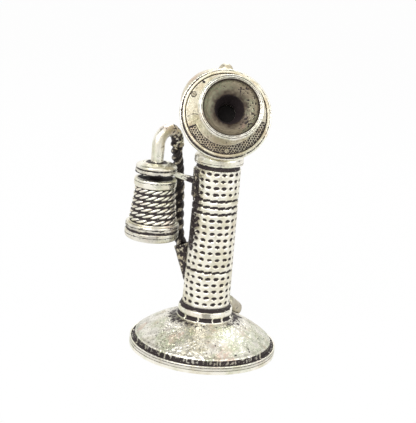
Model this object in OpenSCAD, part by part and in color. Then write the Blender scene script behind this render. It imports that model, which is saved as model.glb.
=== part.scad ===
// Candlestick desk telephone: a domed base, a column with a switch hook, a hung receiver and a
// transmitter that tilts on top. Millimetres, +Z up, origin at the middle of the underside.
// The transmitter faces -Y and the receiver hangs on the -X side.

/* [Base] */
// Radius of the base
base_r = 70; // [64:1:80]
// Thickness of the felt pad
felt_t = 1.2; // [0.8:0.1:2]
// Depth of the recess that holds the felt
felt_recess = 0.6; // [0.4:0.1:0.8]
// Width of the rim round the felt
felt_rim = 4; // [3:0.5:8]
// Thickness of the base plate
plate_t = 3; // [2.6:0.2:5]
// Height of the flange above the plate
flange_h = 4.4; // [3:0.2:8]
// Width of the ledge between the rim and the dome
ledge_w = 5; // [3:0.5:8]
// Height of the step up to the dome
dome_step = 4.1; // [2:0.1:6]
// Radius of curvature of the dome
dome_curve_r = 102; // [96:1:130]
// Wall of the base shell
base_wall = 2.4; // [1.8:0.1:3.5]
// Outer radius of the ballast ring
ballast_r = 50; // [44:1:51]
// Inner radius of the ballast ring
ballast_bore_r = 26; // [25:0.5:30]
// Thickness of the ballast ring
ballast_t = 9; // [6:0.5:12]
// Distance of the base screws from the middle
base_screw_r = 56.5; // [56:0.5:57]
// Length of the terminal block
terminal_l = 40; // [34:1:42]
// Width of the terminal block
terminal_w = 22; // [18:1:24]
// Thickness of the terminal block
terminal_t = 5; // [4:0.5:8]

/* [Line cord inlet] */
// Angle of the inlet round the base, from the right towards the back
inlet_angle = 50; // [45:1:60]
// Radius of the inlet boss
inlet_r = 7.5; // [7:0.1:8]
// Bore of the inlet, radius
inlet_bore_r = 3.6; // [3:0.1:3.8]
// Distance of the boss's rounded end from the middle
inlet_from = 40; // [39:0.5:42]
// Height of the boss's rounded end above the dome
inlet_rise = 7.7; // [7:0.1:8.5]
// Downward slope of the boss, degrees
inlet_slope = 34; // [31:1:35]
// Length of the boss from its rounded end to its mouth
inlet_l = 20.5; // [18:0.5:21]

/* [Column] */
// Height of the collar ring's underside above the dome seat
collar_foot_h = 5.3; // [4:0.1:8]
// Height of the collar ring
collar_ring_h = 5.4; // [4:0.1:8]
// Radius of the collar ring
collar_r = 25.9; // [25.5:0.1:26.4]
// Height of the plain lip above the ring
collar_lip_h = 3.4; // [2:0.1:5]
// Thickness of the collar floor
collar_floor = 4; // [3:0.2:5]
// Radius of the column at its foot
column_foot_r = 22.7; // [22.2:0.1:23]
// Radius of the column at its top
column_top_r = 21.1; // [20.6:0.1:21.6]
// Dimples in each ring round the column
dimples_round = 18; // [12:1:18]
// Height from one ring of dimples to the next
dimple_rise = 6.2; // [5:0.2:8]
// Width of a dimple, round the column
dimple_w = 4.4; // [2:0.2:5]
// Height of a dimple
dimple_h = 2.6; // [1.6:0.2:3.6]
// Depth of a dimple
dimple_depth = 1.1; // [0.4:0.1:1.3]
// Height of the top of the column tube
column_top_z = 177; // [176:0.5:178]
// Bore radius of the column tube
column_bore_r = 18.5; // [18:0.1:18.8]
// Height of the dark groove under the neck ring
neck_groove_h = 4; // [3:0.2:5]
// Radius of the groove
neck_groove_r = 20.2; // [19.5:0.1:20.6]
// Radius of the neck ring
neck_ring_r = 22.8; // [22:0.1:24]
// Height of the neck ring
neck_ring_h = 9; // [8:0.2:9.4]
// Depth of the neck plug in the column
neck_plug_h = 8; // [5:0.5:8.5]

/* [Transmitter] */
// Distance of the face in front of the column axis
face_forward = 18; // [17:0.5:22]
// Height of the middle of the face above the tilt pin
face_rise = 35.8; // [35.4:0.2:41]
// Upward tilt of the face at rest, degrees
face_tilt = 22; // [20:0.5:24]
// Radius of the flange
flange_r = 42; // [41:0.2:43.5]
// Thickness of the flange
flange_t = 4.4; // [3.6:0.2:5]
// Radius of the faceplate
faceplate_r = 39.4; // [38.5:0.1:40]
// Thickness of the faceplate
faceplate_t = 1.6; // [1.2:0.1:2.2]
// Width of the raised rim of the faceplate
faceplate_rim_w = 2.6; // [1.5:0.1:3.2]
// Height of the raised rim
faceplate_rim_h = 1.2; // [0.6:0.1:2]
// Sideways place of the rear dome
dome_x = -6; // [-7:0.5:-2]
// Distance of the rear dome behind the column axis
dome_y = 18; // [16:0.5:19]
// Height of the middle of the rear dome above the middle of the face
dome_rise = 2.6; // [2.1:0.1:5.6]
// Radius of the rear dome
cup_r = 32; // [30:0.2:32.2]
// Wall of the cup
cup_wall = 2; // [1.5:0.1:3]
// Radius of the top knob
knob_r = 6.8; // [5:0.2:8]
// Height of the middle of the top knob above the rear dome
knob_rise = 1.4; // [1.3:0.1:3]
// Distance of the top knob behind the column axis
knob_y = 11; // [10.5:0.5:14]
// Radius of the diaphragm
diaphragm_r = 25.5; // [24:0.5:25.5]
// Thickness of the diaphragm
diaphragm_t = 0.4; // [0.3:0.1:0.6]
// Radius of the carbon button
button_r = 11; // [9:0.5:12]
// Length of the carbon button
button_l = 11; // [8:0.5:13]

/* [Mouthpiece] */
// Distance of the lip in front of the faceplate
horn_l = 29; // [26:0.5:32]
// Outer radius of the lip
horn_r = 29.7; // [28.5:0.1:30.5]
// Radius of the mouth inside the lip
horn_mouth_r = 24.9; // [24:0.1:25.4]
// Radius of the throat
horn_throat_r = 13; // [12:0.1:13.2]
// Radius of the screwed stem
horn_stem_r = 15.5; // [14.5:0.1:16]
// Radius of the hole at the diaphragm
horn_hole_r = 8; // [6:0.2:9]

/* [Tilt joint] */
// Height of the tilt pin above the neck ring
tilt_pin_rise = 4.6; // [4.5:0.1:4.8]
// Distance of the tilt pin behind the column axis
tilt_pin_y = 8; // [7.5:0.1:8.5]
// Radius of the tilt pin
tilt_pin_r = 1.9; // [1.5:0.1:2.2]
// Radius of the lugs round the pin
tilt_lug_r = 4.2; // [3.8:0.1:4.2]
// Width of the cup's knuckle
knuckle_w = 11; // [9:0.5:12]
// Thickness of each bracket ear
ear_t = 3.8; // [3:0.2:4.4]
// Radius of the bracket foot
bracket_foot_r = 14.5; // [13.5:0.5:16]
// Thickness of the bracket foot
bracket_foot_t = 2; // [1.5:0.1:2.5]

/* [Receiver] */
// Distance of the receiver axis from the column axis
receiver_x = 57; // [57:0.5:60]
// Height of the ear cap's rim above the table
earcap_z = 107; // [106:0.5:108]
// Radius of the ear cap
earcap_r = 25.3; // [24.5:0.1:25.5]
// Height of the ear cap
earcap_h = 15; // [14:0.5:16]
// Radius of the ear opening
ear_hole_r = 5.5; // [4:0.5:7]
// Radius of the dished ear cup
ear_dish_r = 19; // [17:0.5:19.5]
// Depth of the dished ear cup
ear_dish_d = 4; // [3:0.2:4.4]
// Number of twisted wire bands
band_count = 6; // [3:1:6]
// Spacing of the bands
band_pitch = 5.5; // [5.4:0.1:5.6]
// Radius of the twisted wire
band_wire_r = 2.6; // [2:0.1:2.65]
// Outer radius of the lowest band
band_low_r = 22.4; // [22:0.1:22.6]
// Outer radius of the highest band
band_high_r = 19; // [18.6:0.1:19.4]
// Radius of the plain ring above the bands
shell_ring_r = 19.7; // [19.2:0.1:20.2]
// Height of the plain ring
shell_ring_h = 7.7; // [6.5:0.1:8]
// Radius of the neck held by the fork
hang_neck_r = 6.2; // [5.5:0.1:6.6]
// Height of the gap held by the fork
hang_gap = 6.3; // [6:0.1:7]
// Radius of the tail cap
tail_r = 19.2; // [18.5:0.1:19.8]
// Height of the tail cap's rim
tail_h = 4.5; // [3.5:0.1:5.5]
// Height of the tail cap's crown
tail_crown_h = 2; // [1:0.2:3]
// Outer radius of the cord spout
spout_r = 6; // [5.8:0.1:6.2]
// Radius of the spout's bend
spout_bend_r = 13; // [12.9:0.1:13.3]
// Height of the middle of the bend above the tail cap
spout_leg = 17.3; // [16.3:0.1:17.8]
// Direction in which the spout leans over, from the column towards the back
spout_turn = 42.5; // [41:0.5:44]

/* [Switch hook] */
// Height of the hook pivot
hook_pivot_z = 160; // [159:0.5:161]
// Distance of the hook pivot from the column axis, towards the receiver
hook_pivot_x = 8; // [7:0.5:9]
// Radius of the hook pivot pin
hook_pin_r = 1.5; // [1.2:0.1:1.8]
// Thickness of the fork
fork_t = 2.6; // [2:0.1:2.8]
// Width of each prong
prong_w = 5; // [4:0.5:5.5]
// Length of the prongs past the receiver axis
prong_l = 12.5; // [11:0.5:13]
// Width of the arm
arm_w = 5; // [4:0.2:5.4]
// Depth of the stud below the hook pivot
stud_drop = 22; // [20:0.5:23]
// Radius of the insulating stud
stud_r = 2.5; // [2:0.1:2.8]
// Thickness of a contact spring
spring_t = 0.5; // [0.4:0.05:0.7]

/* [Cord] */
// Radius of the receiver cord
cord_r = 5.5; // [4.5:0.1:5.5]

/* [Fits] */
// Running clearance of a pin in its bore, radial
pin_fit = 0.05; // [0.02:0.01:0.08]
// Clearance between fixed pieces that slip together
slip_fit = 0.1; // [0.05:0.01:0.15]
// Gap between pieces that move past each other
run_gap = 0.5; // [0.35:0.05:0.6]

/* [Hidden] */

$fn = 96;
eps = 0.01;
far = 200;

// Heights of the base, from the table up
felt_r = base_r - felt_rim;
plate_z = felt_t - felt_recess;
plate_top = plate_z + plate_t;
ledge_z = plate_top + flange_h;
dome_foot_r = base_r - ledge_w;
dome_centre_z = ledge_z + dome_step - sqrt(dome_curve_r * dome_curve_r - dome_foot_r * dome_foot_r);
collar_skirt_r = collar_r + 0.8;
seat_z = dome_centre_z + sqrt(dome_curve_r * dome_curve_r - collar_skirt_r * collar_skirt_r);
inlet_z = dome_centre_z + sqrt(dome_curve_r * dome_curve_r - inlet_from * inlet_from) + inlet_rise;
inlet_blind = 2;
inlet_elbow = 4;

// Screws that share one form: clearance hole, head and tapped shank
screw_r = 1.6;
screw_head_r = 3.2;
screw_head_h = 1.6;
boss_r = 4.2;
boss_tap_depth = 7;

// Column
collar_ring_z = seat_z + collar_foot_h;
collar_lip_z = collar_ring_z + collar_ring_h;
collar_top_z = collar_lip_z + collar_lip_h;
column_z = seat_z + collar_floor;
column_h = column_top_z - column_z;
spigot_r = 9.8;
wire_bore_r = 6;
foot_h = 12;
nut_h = 4.5;
nut_r = 16;
neck_ring_z = column_top_z + neck_groove_h;
neck_top_z = neck_ring_z + neck_ring_h;
neck_top_r = neck_ring_r - 2.2;
tilt_pin_z = neck_top_z + tilt_pin_rise;

// Transmitter, in the frame of its face: +Z out of the mouth, +Y up the face
face_z = tilt_pin_z + face_rise;
dome_z = face_z + dome_rise;
knob_z = dome_z + sqrt(cup_r * cup_r - pow(knob_y - dome_y, 2) - dome_x * dome_x) + knob_rise;
face_place = [0, -face_forward, face_z];
flange_back = -faceplate_t - flange_t;
dome_offset = [dome_x, dome_y + face_forward, dome_z - face_z];
dome_reach = norm(dome_offset);
bulb_lead = 25;
chamber_r = diaphragm_r + 1.5;
faceplate_screw_inset = 2.8;
faceplate_screw_r = faceplate_r - faceplate_rim_w - faceplate_screw_inset;
faceplate_screw_angles = [32.5, 152.5, 272.5];
knuckle_y = 3.6;

// Receiver, from the rim up
cap_top_z = earcap_z + earcap_h;
diaphragm_z = earcap_z + 8;
shell_shoulder_h = 1;
first_band_z = cap_top_z + shell_shoulder_h + 2.9;
shell_ring_z = first_band_z + (band_count - 1) * band_pitch + 2.8;
shell_top_z = shell_ring_z + shell_ring_h;
tail_z = shell_top_z + hang_gap;
tail_top_z = tail_z + tail_h;
crown_z = tail_top_z + tail_crown_h;
barrel_low_r = band_low_r - 1.6;
barrel_high_r = band_high_r - 1.6;
thread_r = 22;
receiver_wall = 2.2;
chamber_top_z = shell_ring_z + 1;
magnet_t = 5;
pole_x = 8;
pole_r = 2.1;
coil_r = 5.4;
coil_z = diaphragm_z + 3;
coil_h = 9;
magnet_leg_z = coil_z + coil_h;
spout_bend_z = crown_z + spout_leg;
spout_mouth = spout_bend_r * 2;
ferrule_h = 3;

// Switch hook
neck_slot_r = hang_neck_r + 1;
fork_top_z = tail_z - 0.1;
fork_z = fork_top_z - fork_t;
arm_root_r = 5;
hook_pin_l = 11.6;
cheek_y = arm_w / 2 + run_gap;
cheek_t = 2;
tail_tip_x = 5;
stud_x = 2;
finger_w = 4;
slot_half_w = arm_w / 2 + 0.7;
slot_low = hook_pivot_z - 7;
slot_high = hook_pivot_z + 11;
escutcheon_t = 1.6;
escutcheon_half_w = 8;
bracket_t = 3;
stud_z = hook_pivot_z - stud_drop;
bracket_half_w = 8;
bracket_margin = 3;
stack_z = stud_z - 34;
stack_h = 12;
bracket_low = stack_z - bracket_margin;
bracket_high = hook_pivot_z + 8;
stack_half_w = 4.5;
moving_x = stud_x + stud_r + run_gap;
flex_z = stack_z + stack_h + 0.3;
make_x = moving_x - 4;
break_x = moving_x + 3.3;
contact_z = stud_z - 10;
contact_r = 1.2;
lift_spring_z = hook_pivot_z + 4.5;
lift_hinge_x = 14.3;

// Route of the receiver cord, from its bushing on the column up to the spout
CORD_ROUTE = [[-26.4, 15.2, 97], [-28.6, 16.5, 102.5], [-29.8, 19, 109], [-30.2, 23, 117],
    [-30.4, 27.5, 126], [-30.6, 31.5, 136], [-31, 33.5, 146], [-31.8, 33.5, 156],
    [-33.4, 31, 166], [-35.2, 27, 175], [-37, 22.5, 182], [-37.9, 18.6, 187.5]];
cord_sides = 12;
bushing_mouth_r = 7.4;
bushing_root_r = 8.6;
bushing_l = 34;
bushing_axis = CORD_ROUTE[0] - CORD_ROUTE[1];

module face_frame() translate(face_place) rotate([90 - face_tilt, 0, 0]) children();
module receiver_frame() translate([-receiver_x, 0, 0]) children();
module inlet_frame() rotate([0, 0, inlet_angle]) children();
// Points +Z along a vector
module aim(v) rotate([0, acos(v[2] / norm(v)), atan2(v[1], v[0])]) children();
// A cylinder along X from one place to another
module bar_x(x0, x1, r) translate([x0, 0, 0]) rotate([0, 90, 0]) cylinder(r = r, h = x1 - x0);
// A cylinder along Y, centred
module pin_y(l, r) rotate([90, 0, 0]) cylinder(r = r, h = l, center = true);
module round_at(r, angles) for (a = angles) rotate([0, 0, a]) translate([r, 0, 0]) children();
BASE_SCREWS = [30, 150, 270];
BALLAST_SCREWS = [0, 180];
ballast_screw_r = (ballast_r + ballast_bore_r) / 2;

// ---- Base ----
module felt_pad() color("dimgray") cylinder(r = felt_r, h = felt_t);

module plate_screw_hole() {
    translate([0, 0, -eps]) cylinder(r = screw_r + slip_fit, h = plate_top + 1);
    cylinder(r = screw_head_r + slip_fit, h = felt_t + screw_head_h);
}

module base_plate() color("gray") difference() {
    translate([0, 0, plate_z]) cylinder(r = base_r, h = plate_t);
    translate([0, 0, plate_z - 1]) cylinder(r = felt_r + slip_fit, h = felt_recess + 1);
    round_at(base_screw_r, BASE_SCREWS) plate_screw_hole();
    round_at(ballast_screw_r, BALLAST_SCREWS) plate_screw_hole();
}

module plate_screw(depth) {
    translate([0, 0, felt_t]) cylinder(r = screw_head_r, h = screw_head_h);
    translate([0, 0, felt_t]) cylinder(r = screw_r, h = plate_top - felt_t + depth);
}

module base_plate_screws() color("silver") round_at(base_screw_r, BASE_SCREWS)
    plate_screw(boss_tap_depth - 1);

module dome_ball(r) translate([0, 0, dome_centre_z]) sphere(r = r, $fn = 180);

module base_shell() color("silver") difference() {
    union() {
        translate([0, 0, plate_top]) cylinder(r = base_r, h = flange_h);
        intersection() {
            dome_ball(dome_curve_r);
            translate([0, 0, plate_top]) cylinder(r = dome_foot_r, h = seat_z - plate_top);
        }
    }
    difference() {
        intersection() {
            dome_ball(dome_curve_r - base_wall);
            translate([0, 0, plate_top - 1])
                cylinder(r = dome_foot_r - base_wall, h = seat_z - base_wall - plate_top + 1);
        }
        round_at(base_screw_r, BASE_SCREWS) cylinder(r = boss_r, h = seat_z);
    }
    round_at(base_screw_r, BASE_SCREWS)
        cylinder(r = screw_r + pin_fit, h = plate_top + boss_tap_depth);
    cylinder(r = spigot_r + slip_fit, h = seat_z + 1);
    inlet_bore();
}

module ballast_ring() color("dimgray") difference() {
    translate([0, 0, plate_top]) cylinder(r = ballast_r, h = ballast_t);
    cylinder(r = ballast_bore_r, h = far);
    round_at(ballast_screw_r, BALLAST_SCREWS)
        cylinder(r = screw_r + pin_fit, h = plate_top + boss_tap_depth);
}

module ballast_screws() color("silver") round_at(ballast_screw_r, BALLAST_SCREWS)
    plate_screw(boss_tap_depth - 1);

terminal_pitch_x = terminal_l / 2 - 6;
terminal_pitch_y = terminal_w / 2 - 5;
terminal_screw_r = 1.5;
terminal_screw_depth = terminal_t - 1;
module at_terminals() for (x = [-1, 1], y = [-1, 1])
    translate([x * terminal_pitch_x, y * terminal_pitch_y, plate_top + terminal_t]) children();

module terminal_block() color("saddlebrown") difference() {
    translate([-terminal_l / 2, -terminal_w / 2, plate_top]) cube([terminal_l, terminal_w, terminal_t]);
    at_terminals() translate([0, 0, -terminal_screw_depth])
        cylinder(r = terminal_screw_r + pin_fit, h = far);
}

module terminal_screws() color("gold") at_terminals() {
    cylinder(r = 2.8, h = 2);
    translate([0, 0, -terminal_screw_depth]) cylinder(r = terminal_screw_r, h = terminal_screw_depth);
}

module inlet_along() inlet_frame() translate([inlet_from, 0, inlet_z])
    rotate([0, 90 + inlet_slope, 0]) children();

module inlet_bore() {
    inlet_along() translate([0, 0, inlet_blind]) cylinder(r = inlet_bore_r, h = inlet_l - inlet_blind + eps);
    inlet_frame() translate([inlet_from + inlet_elbow, 0, plate_top + ballast_t])
        cylinder(r = inlet_bore_r, h = inlet_z - inlet_elbow - plate_top - ballast_t);
}

module line_cord_inlet() color("silver") difference() {
    inlet_along() {
        sphere(r = inlet_r);
        cylinder(r = inlet_r, h = inlet_l);
    }
    dome_ball(dome_curve_r);
    inlet_bore();
}

module base_collar() color("silver") rotate_extrude() polygon([
    [spigot_r + slip_fit, seat_z], [collar_skirt_r, seat_z], [collar_skirt_r, seat_z + 1.2],
    [collar_r - 1.4, seat_z + 2.4], [collar_r - 1.4, collar_ring_z],
    [collar_r - 0.6, collar_ring_z], [collar_r, collar_ring_z + 0.8],
    [collar_r, collar_lip_z - 0.8], [collar_r - 0.6, collar_lip_z],
    [column_foot_r + 1, collar_lip_z], [column_foot_r + 1, collar_top_z],
    [column_foot_r + slip_fit, collar_top_z], [column_foot_r + slip_fit, column_z],
    [spigot_r + slip_fit, column_z]]);

// ---- Column ----
module column_foot() color("goldenrod") difference() {
    union() {
        translate([0, 0, column_z]) cylinder(r = column_bore_r - pin_fit, h = foot_h);
        translate([0, 0, seat_z - base_wall - nut_h - 1])
            cylinder(r = spigot_r, h = collar_floor + base_wall + nut_h + 2);
    }
    cylinder(r = wire_bore_r, h = far);
}

module column_nut() color("goldenrod") difference() {
    translate([0, 0, seat_z - base_wall - nut_h]) cylinder(r = nut_r, h = nut_h, $fn = 6);
    cylinder(r = spigot_r + pin_fit, h = far);
}

module column_cone(extra = 0) translate([0, 0, column_z])
    cylinder(r1 = column_foot_r + extra, r2 = column_top_r + extra, h = column_h);

module hook_slot() translate([-far, -slot_half_w, slot_low])
    cube([far, 2 * slot_half_w, slot_high - slot_low]);

module bushing_line(r) translate(CORD_ROUTE[0]) aim(bushing_axis) cylinder(r = r, h = bushing_l);

bracket_head_r = 2.8;
bracket_head_t = 1.3;
bracket_head_x = column_top_r - 1.3;
bracket_screw_inset = 22;
bracket_screw_zs = [bracket_low + bracket_screw_inset, bracket_high - bracket_screw_inset - 8];
module at_bracket_screws() for (z = bracket_screw_zs) translate([0, 0, z]) children();

// Dimples leave room for the plate at the slot, the bracket screws and the cord's bushing.
dimple_top_z = column_top_z - 3;
dimple_rings = floor((dimple_top_z - collar_top_z - dimple_h / 2) / dimple_rise);
dimple_curve_r = (dimple_h * dimple_h / 4 + dimple_depth * dimple_depth) / (2 * dimple_depth);
function column_r(z) = column_foot_r + (column_top_r - column_foot_r) * (z - column_z) / column_h;
function way_round(a, b) = abs((a - b + 540) % 360 - 180) * column_top_r * PI / 180;
function at_plate(a, z) = way_round(a, 180) < escutcheon_half_w + dimple_w
    && z > slot_low - 4 - dimple_h && z < slot_high + 4 + dimple_h;
function at_screw(a, z) = way_round(a, 0) < dimple_w
    && min([for (s = bracket_screw_zs) abs(z - s)]) < bracket_head_r + dimple_h;
function at_bushing(p) = let (way = bushing_axis / norm(bushing_axis), q = p - CORD_ROUTE[0])
    q * way < bushing_l + dimple_w && norm(cross(q, way)) < bushing_root_r + dimple_w / 2 + 1;
module at_dimples() for (ring = [0:dimple_rings], k = [0:dimples_round - 1])
    let (a = k * 360 / dimples_round, z = dimple_top_z - ring * dimple_rise, r = column_r(z))
        if (!at_plate(a, z) && !at_screw(a, z) && !at_bushing([r * cos(a), r * sin(a), z]))
            rotate([0, 0, a]) translate([r - dimple_depth + dimple_curve_r, 0, z]) children();

module column_tube() color("silver") difference() {
    column_cone();
    at_dimples() rotate([90, 0, 0]) cylinder(r = dimple_curve_r, h = dimple_w, center = true);
    cylinder(r = column_bore_r, h = far);
    hook_slot();
    bushing_line(cord_r - 2);
    at_bracket_screws() {
        bar_x(0, far, screw_r + slip_fit);
        bar_x(bracket_head_x, far, bracket_head_r + slip_fit);
    }
}

module neck_cap() color("silver") difference() {
    rotate_extrude() polygon([
        [wire_bore_r, column_top_z - neck_plug_h],
        [column_bore_r - pin_fit, column_top_z - neck_plug_h], [column_bore_r - pin_fit, column_top_z],
        [neck_groove_r, column_top_z], [neck_groove_r, neck_ring_z],
        [neck_ring_r - 0.8, neck_ring_z], [neck_ring_r, neck_ring_z + 1],
        [neck_ring_r, neck_top_z - 2], [neck_top_r, neck_top_z], [wire_bore_r, neck_top_z]]);
    translate([0, tilt_pin_y - 4, neck_top_z - bracket_foot_t])
        cylinder(r = bracket_foot_r + slip_fit, h = far);
    at_foot_screws() translate([0, 0, -6]) cylinder(r = screw_r + pin_fit, h = far);
}

// ---- Tilt joint ----
module at_tilt() translate([0, tilt_pin_y, tilt_pin_z]) children();
ear_x = knuckle_w / 2 + pin_fit;
foot_screw_y = 9.5;
module at_foot_screws() for (y = [-1, 1])
    translate([0, tilt_pin_y - 4 + y * foot_screw_y, neck_top_z - bracket_foot_t]) children();

module tilt_bracket() color("silver") difference() {
    union() {
        translate([0, tilt_pin_y - 4, neck_top_z - bracket_foot_t])
            cylinder(r = bracket_foot_r, h = bracket_foot_t);
        for (s = [0, 1]) mirror([s, 0, 0]) {
            at_tilt() bar_x(ear_x, ear_x + ear_t, tilt_lug_r);
            translate([ear_x, tilt_pin_y - tilt_lug_r, neck_top_z - eps])
                cube([ear_t, 2 * tilt_lug_r, tilt_pin_z - neck_top_z + eps]);
        }
    }
    at_tilt() bar_x(-far, far, tilt_pin_r + pin_fit);
    translate([0, tilt_pin_y - 4, 0]) cylinder(r = 3.5, h = far);
    at_foot_screws() cylinder(r = screw_r + slip_fit, h = far);
}

module bracket_foot_screws() color("silver") at_foot_screws() {
    translate([0, 0, -5.5]) cylinder(r = screw_r, h = 5.5 + bracket_foot_t);
    translate([0, 0, bracket_foot_t]) cylinder(r = 2.6, h = 1);
}

tilt_head_t = 2.2;
module tilt_pin() color("silver") at_tilt() {
    bar_x(-ear_x - ear_t - tilt_head_t, -ear_x - ear_t, tilt_pin_r + 1.7);
    bar_x(-ear_x - ear_t - eps, ear_x + ear_t + tilt_head_t + 1, tilt_pin_r);
}

module tilt_nut() color("silver") at_tilt() difference() {
    rotate([0, 90, 0]) translate([0, 0, ear_x + ear_t])
        cylinder(r = tilt_pin_r + 2.2, h = tilt_head_t, $fn = 6);
    bar_x(0, far, tilt_pin_r + pin_fit / 2);
}

// ---- Switch hook and its contacts ----
module bore_plate(low, high, half_w, t) intersection() {
    difference() {
        cylinder(r = column_bore_r - pin_fit, h = far);
        cylinder(r = column_bore_r - pin_fit - t, h = far);
    }
    translate([0, -half_w, low]) cube([far, 2 * half_w, high - low]);
}

module at_stack_screws() for (z = [stack_z + 3, stack_z + stack_h - 3]) translate([0, 0, z]) children();
stack_screw_r = 1.1;
stack_low_x = make_x - 3;
stack_high_x = column_bore_r - pin_fit - bracket_t - 0.8;

module hook_bracket() color("goldenrod") difference() {
    union() {
        bore_plate(bracket_low, bracket_high, bracket_half_w, bracket_t);
        for (s = [0, 1]) mirror([0, s, 0])
            translate([-hook_pivot_x - 4, cheek_y, hook_pivot_z - 7])
                cube([hook_pivot_x + 4 + column_bore_r - bracket_t, cheek_t, bracket_high - hook_pivot_z + 7]);
        translate([lift_hinge_x + 0.4, -cheek_y - 1, lift_spring_z - 2])
            cube([column_bore_r - bracket_t - lift_hinge_x + 0.2, 2 * cheek_y + 2, 4]);
    }
    translate([-hook_pivot_x, 0, hook_pivot_z]) pin_y(far, hook_pin_r + pin_fit);
    at_bracket_screws() bar_x(0, far, screw_r + pin_fit);
    at_stack_screws() bar_x(0, column_bore_r - 0.8, stack_screw_r + pin_fit);
    translate([stack_high_x - far, -stack_half_w - slip_fit, stack_z - slip_fit])
        cube([far, 2 * (stack_half_w + slip_fit), stack_h + 2 * slip_fit]);
}

module bracket_screws() color("silver") at_bracket_screws() {
    bar_x(column_bore_r - bracket_t, bracket_head_x, screw_r);
    bar_x(bracket_head_x, bracket_head_x + bracket_head_t, bracket_head_r);
}

module hook_pivot_pin() color("silver")
    translate([-hook_pivot_x, 0, hook_pivot_z]) pin_y(hook_pin_l, hook_pin_r);

module hook_escutcheon() color("silver") difference() {
    intersection() {
        column_cone(escutcheon_t);
        translate([-far, -escutcheon_half_w, slot_low - 4])
            cube([far, 2 * escutcheon_half_w, slot_high - slot_low + 8]);
    }
    column_cone();
    hook_slot();
}

// The hook seen from the front: x along the arm, y up
module hook_outline() difference() {
    union() {
        translate([-hook_pivot_x, hook_pivot_z]) circle(r = arm_root_r);
        polygon([[-hook_pivot_x, hook_pivot_z + arm_root_r - 1], [-hook_pivot_x, hook_pivot_z - arm_root_r + 1],
            [-receiver_x + neck_slot_r + prong_w, fork_z], [-receiver_x + neck_slot_r + 1, fork_z],
            [-receiver_x + neck_slot_r + 1, fork_top_z], [-receiver_x + neck_slot_r + prong_w + 4, fork_top_z]]);
        polygon([[-hook_pivot_x, hook_pivot_z + 3], [tail_tip_x, hook_pivot_z + 3],
            [tail_tip_x, hook_pivot_z - 1], [-hook_pivot_x, hook_pivot_z - 3]]);
        translate([tail_tip_x - 2, hook_pivot_z + 2]) square([2, 2]);
        polygon([[-hook_pivot_x - 2, hook_pivot_z], [stud_x - finger_w / 2, stud_z],
            [stud_x + 1, stud_z], [-hook_pivot_x + 5, hook_pivot_z]]);
    }
    translate([-hook_pivot_x, hook_pivot_z]) circle(r = hook_pin_r + pin_fit);
}

stud_half_l = 2;
module switch_hook() color("silver") {
    difference() {
        rotate([90, 0, 0]) linear_extrude(height = arm_w, center = true) hook_outline();
        translate([stud_x, 0, stud_z]) pin_y(2 * stud_half_l, stud_r + run_gap);
        translate([stud_x, 0, stud_z]) pin_y(far, 1 - pin_fit);
    }
    translate([0, 0, fork_z]) linear_extrude(height = fork_t) difference() {
        union() {
            translate([-receiver_x, 0]) circle(r = neck_slot_r + prong_w);
            translate([-receiver_x - prong_l, -neck_slot_r - prong_w])
                square([prong_l, 2 * (neck_slot_r + prong_w)]);
        }
        translate([-receiver_x, 0]) circle(r = neck_slot_r);
        translate([-receiver_x - far, -neck_slot_r]) square([far, 2 * neck_slot_r]);
    }
}

module hook_stud() color("saddlebrown") translate([stud_x, 0, stud_z]) difference() {
    pin_y(2 * stud_half_l - 0.6, stud_r);
    pin_y(far, 1);
}

module stud_rivet() color("silver") translate([stud_x, 0, stud_z]) pin_y(arm_w, 1 - 2 * pin_fit);

module leaf(x, low, high, half_w) translate([x, -half_w, low]) cube([spring_t, 2 * half_w, high - low]);
module contact(x0, x1) translate([0, 0, contact_z]) bar_x(x0, x1, contact_r);

module fixed_contact_springs() color("gold") difference() {
    union() {
        leaf(make_x - spring_t, stack_z, contact_z + 3, 3);
        contact(make_x - eps, make_x + 0.9);
        leaf(break_x, stack_z, contact_z + 4, 3);
        contact(moving_x + spring_t + run_gap, break_x + eps);
    }
    at_stack_screws() bar_x(-far, far, stack_screw_r + pin_fit);
}

module moving_spring_root() color("gold") difference() {
    leaf(moving_x, stack_z, stack_z + stack_h, 3);
    at_stack_screws() bar_x(-far, far, stack_screw_r + pin_fit);
}

module moving_contact_spring() color("gold") {
    leaf(moving_x, flex_z, stud_z + 4, 3);
    contact(moving_x - 0.8, moving_x + eps);
}

module insulator(x0, x1) translate([x0, -stack_half_w, stack_z])
    cube([x1 - x0, 2 * stack_half_w, stack_h]);

module spring_insulators() color("saddlebrown") difference() {
    union() {
        insulator(stack_low_x, make_x - spring_t);
        insulator(make_x, moving_x);
        insulator(moving_x + spring_t, break_x);
        insulator(break_x + spring_t, stack_high_x);
    }
    at_stack_screws() bar_x(-far, far, stack_screw_r + pin_fit);
}

module stack_screws() color("silver") at_stack_screws() {
    bar_x(stack_low_x - 1.6, stack_low_x, 2.1);
    bar_x(stack_low_x - eps, column_bore_r - 1, stack_screw_r);
}

module lift_spring() color("gold")
    translate([tail_tip_x - 3, -arm_w / 2 + 0.3, lift_spring_z])
        cube([lift_hinge_x - tail_tip_x + 3, arm_w - 0.6, spring_t]);

module cord_bushing() color("silver") difference() {
    translate(CORD_ROUTE[0]) aim(bushing_axis)
        cylinder(r1 = bushing_mouth_r, r2 = bushing_root_r, h = bushing_l);
    column_cone();
    bushing_line(cord_r - 2);
}

// ---- Transmitter ----
module bulb(shrink) translate(face_place) aim(dome_offset) {
    translate([0, 0, -bulb_lead])
        cylinder(r1 = cup_r + 2 - shrink, r2 = cup_r - shrink, h = bulb_lead + dome_reach);
    translate([0, 0, dome_reach]) sphere(r = cup_r - shrink);
}

module in_front_of(z) face_frame() translate([-far / 2, -far / 2, z]) cube([far, far, far]);

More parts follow.
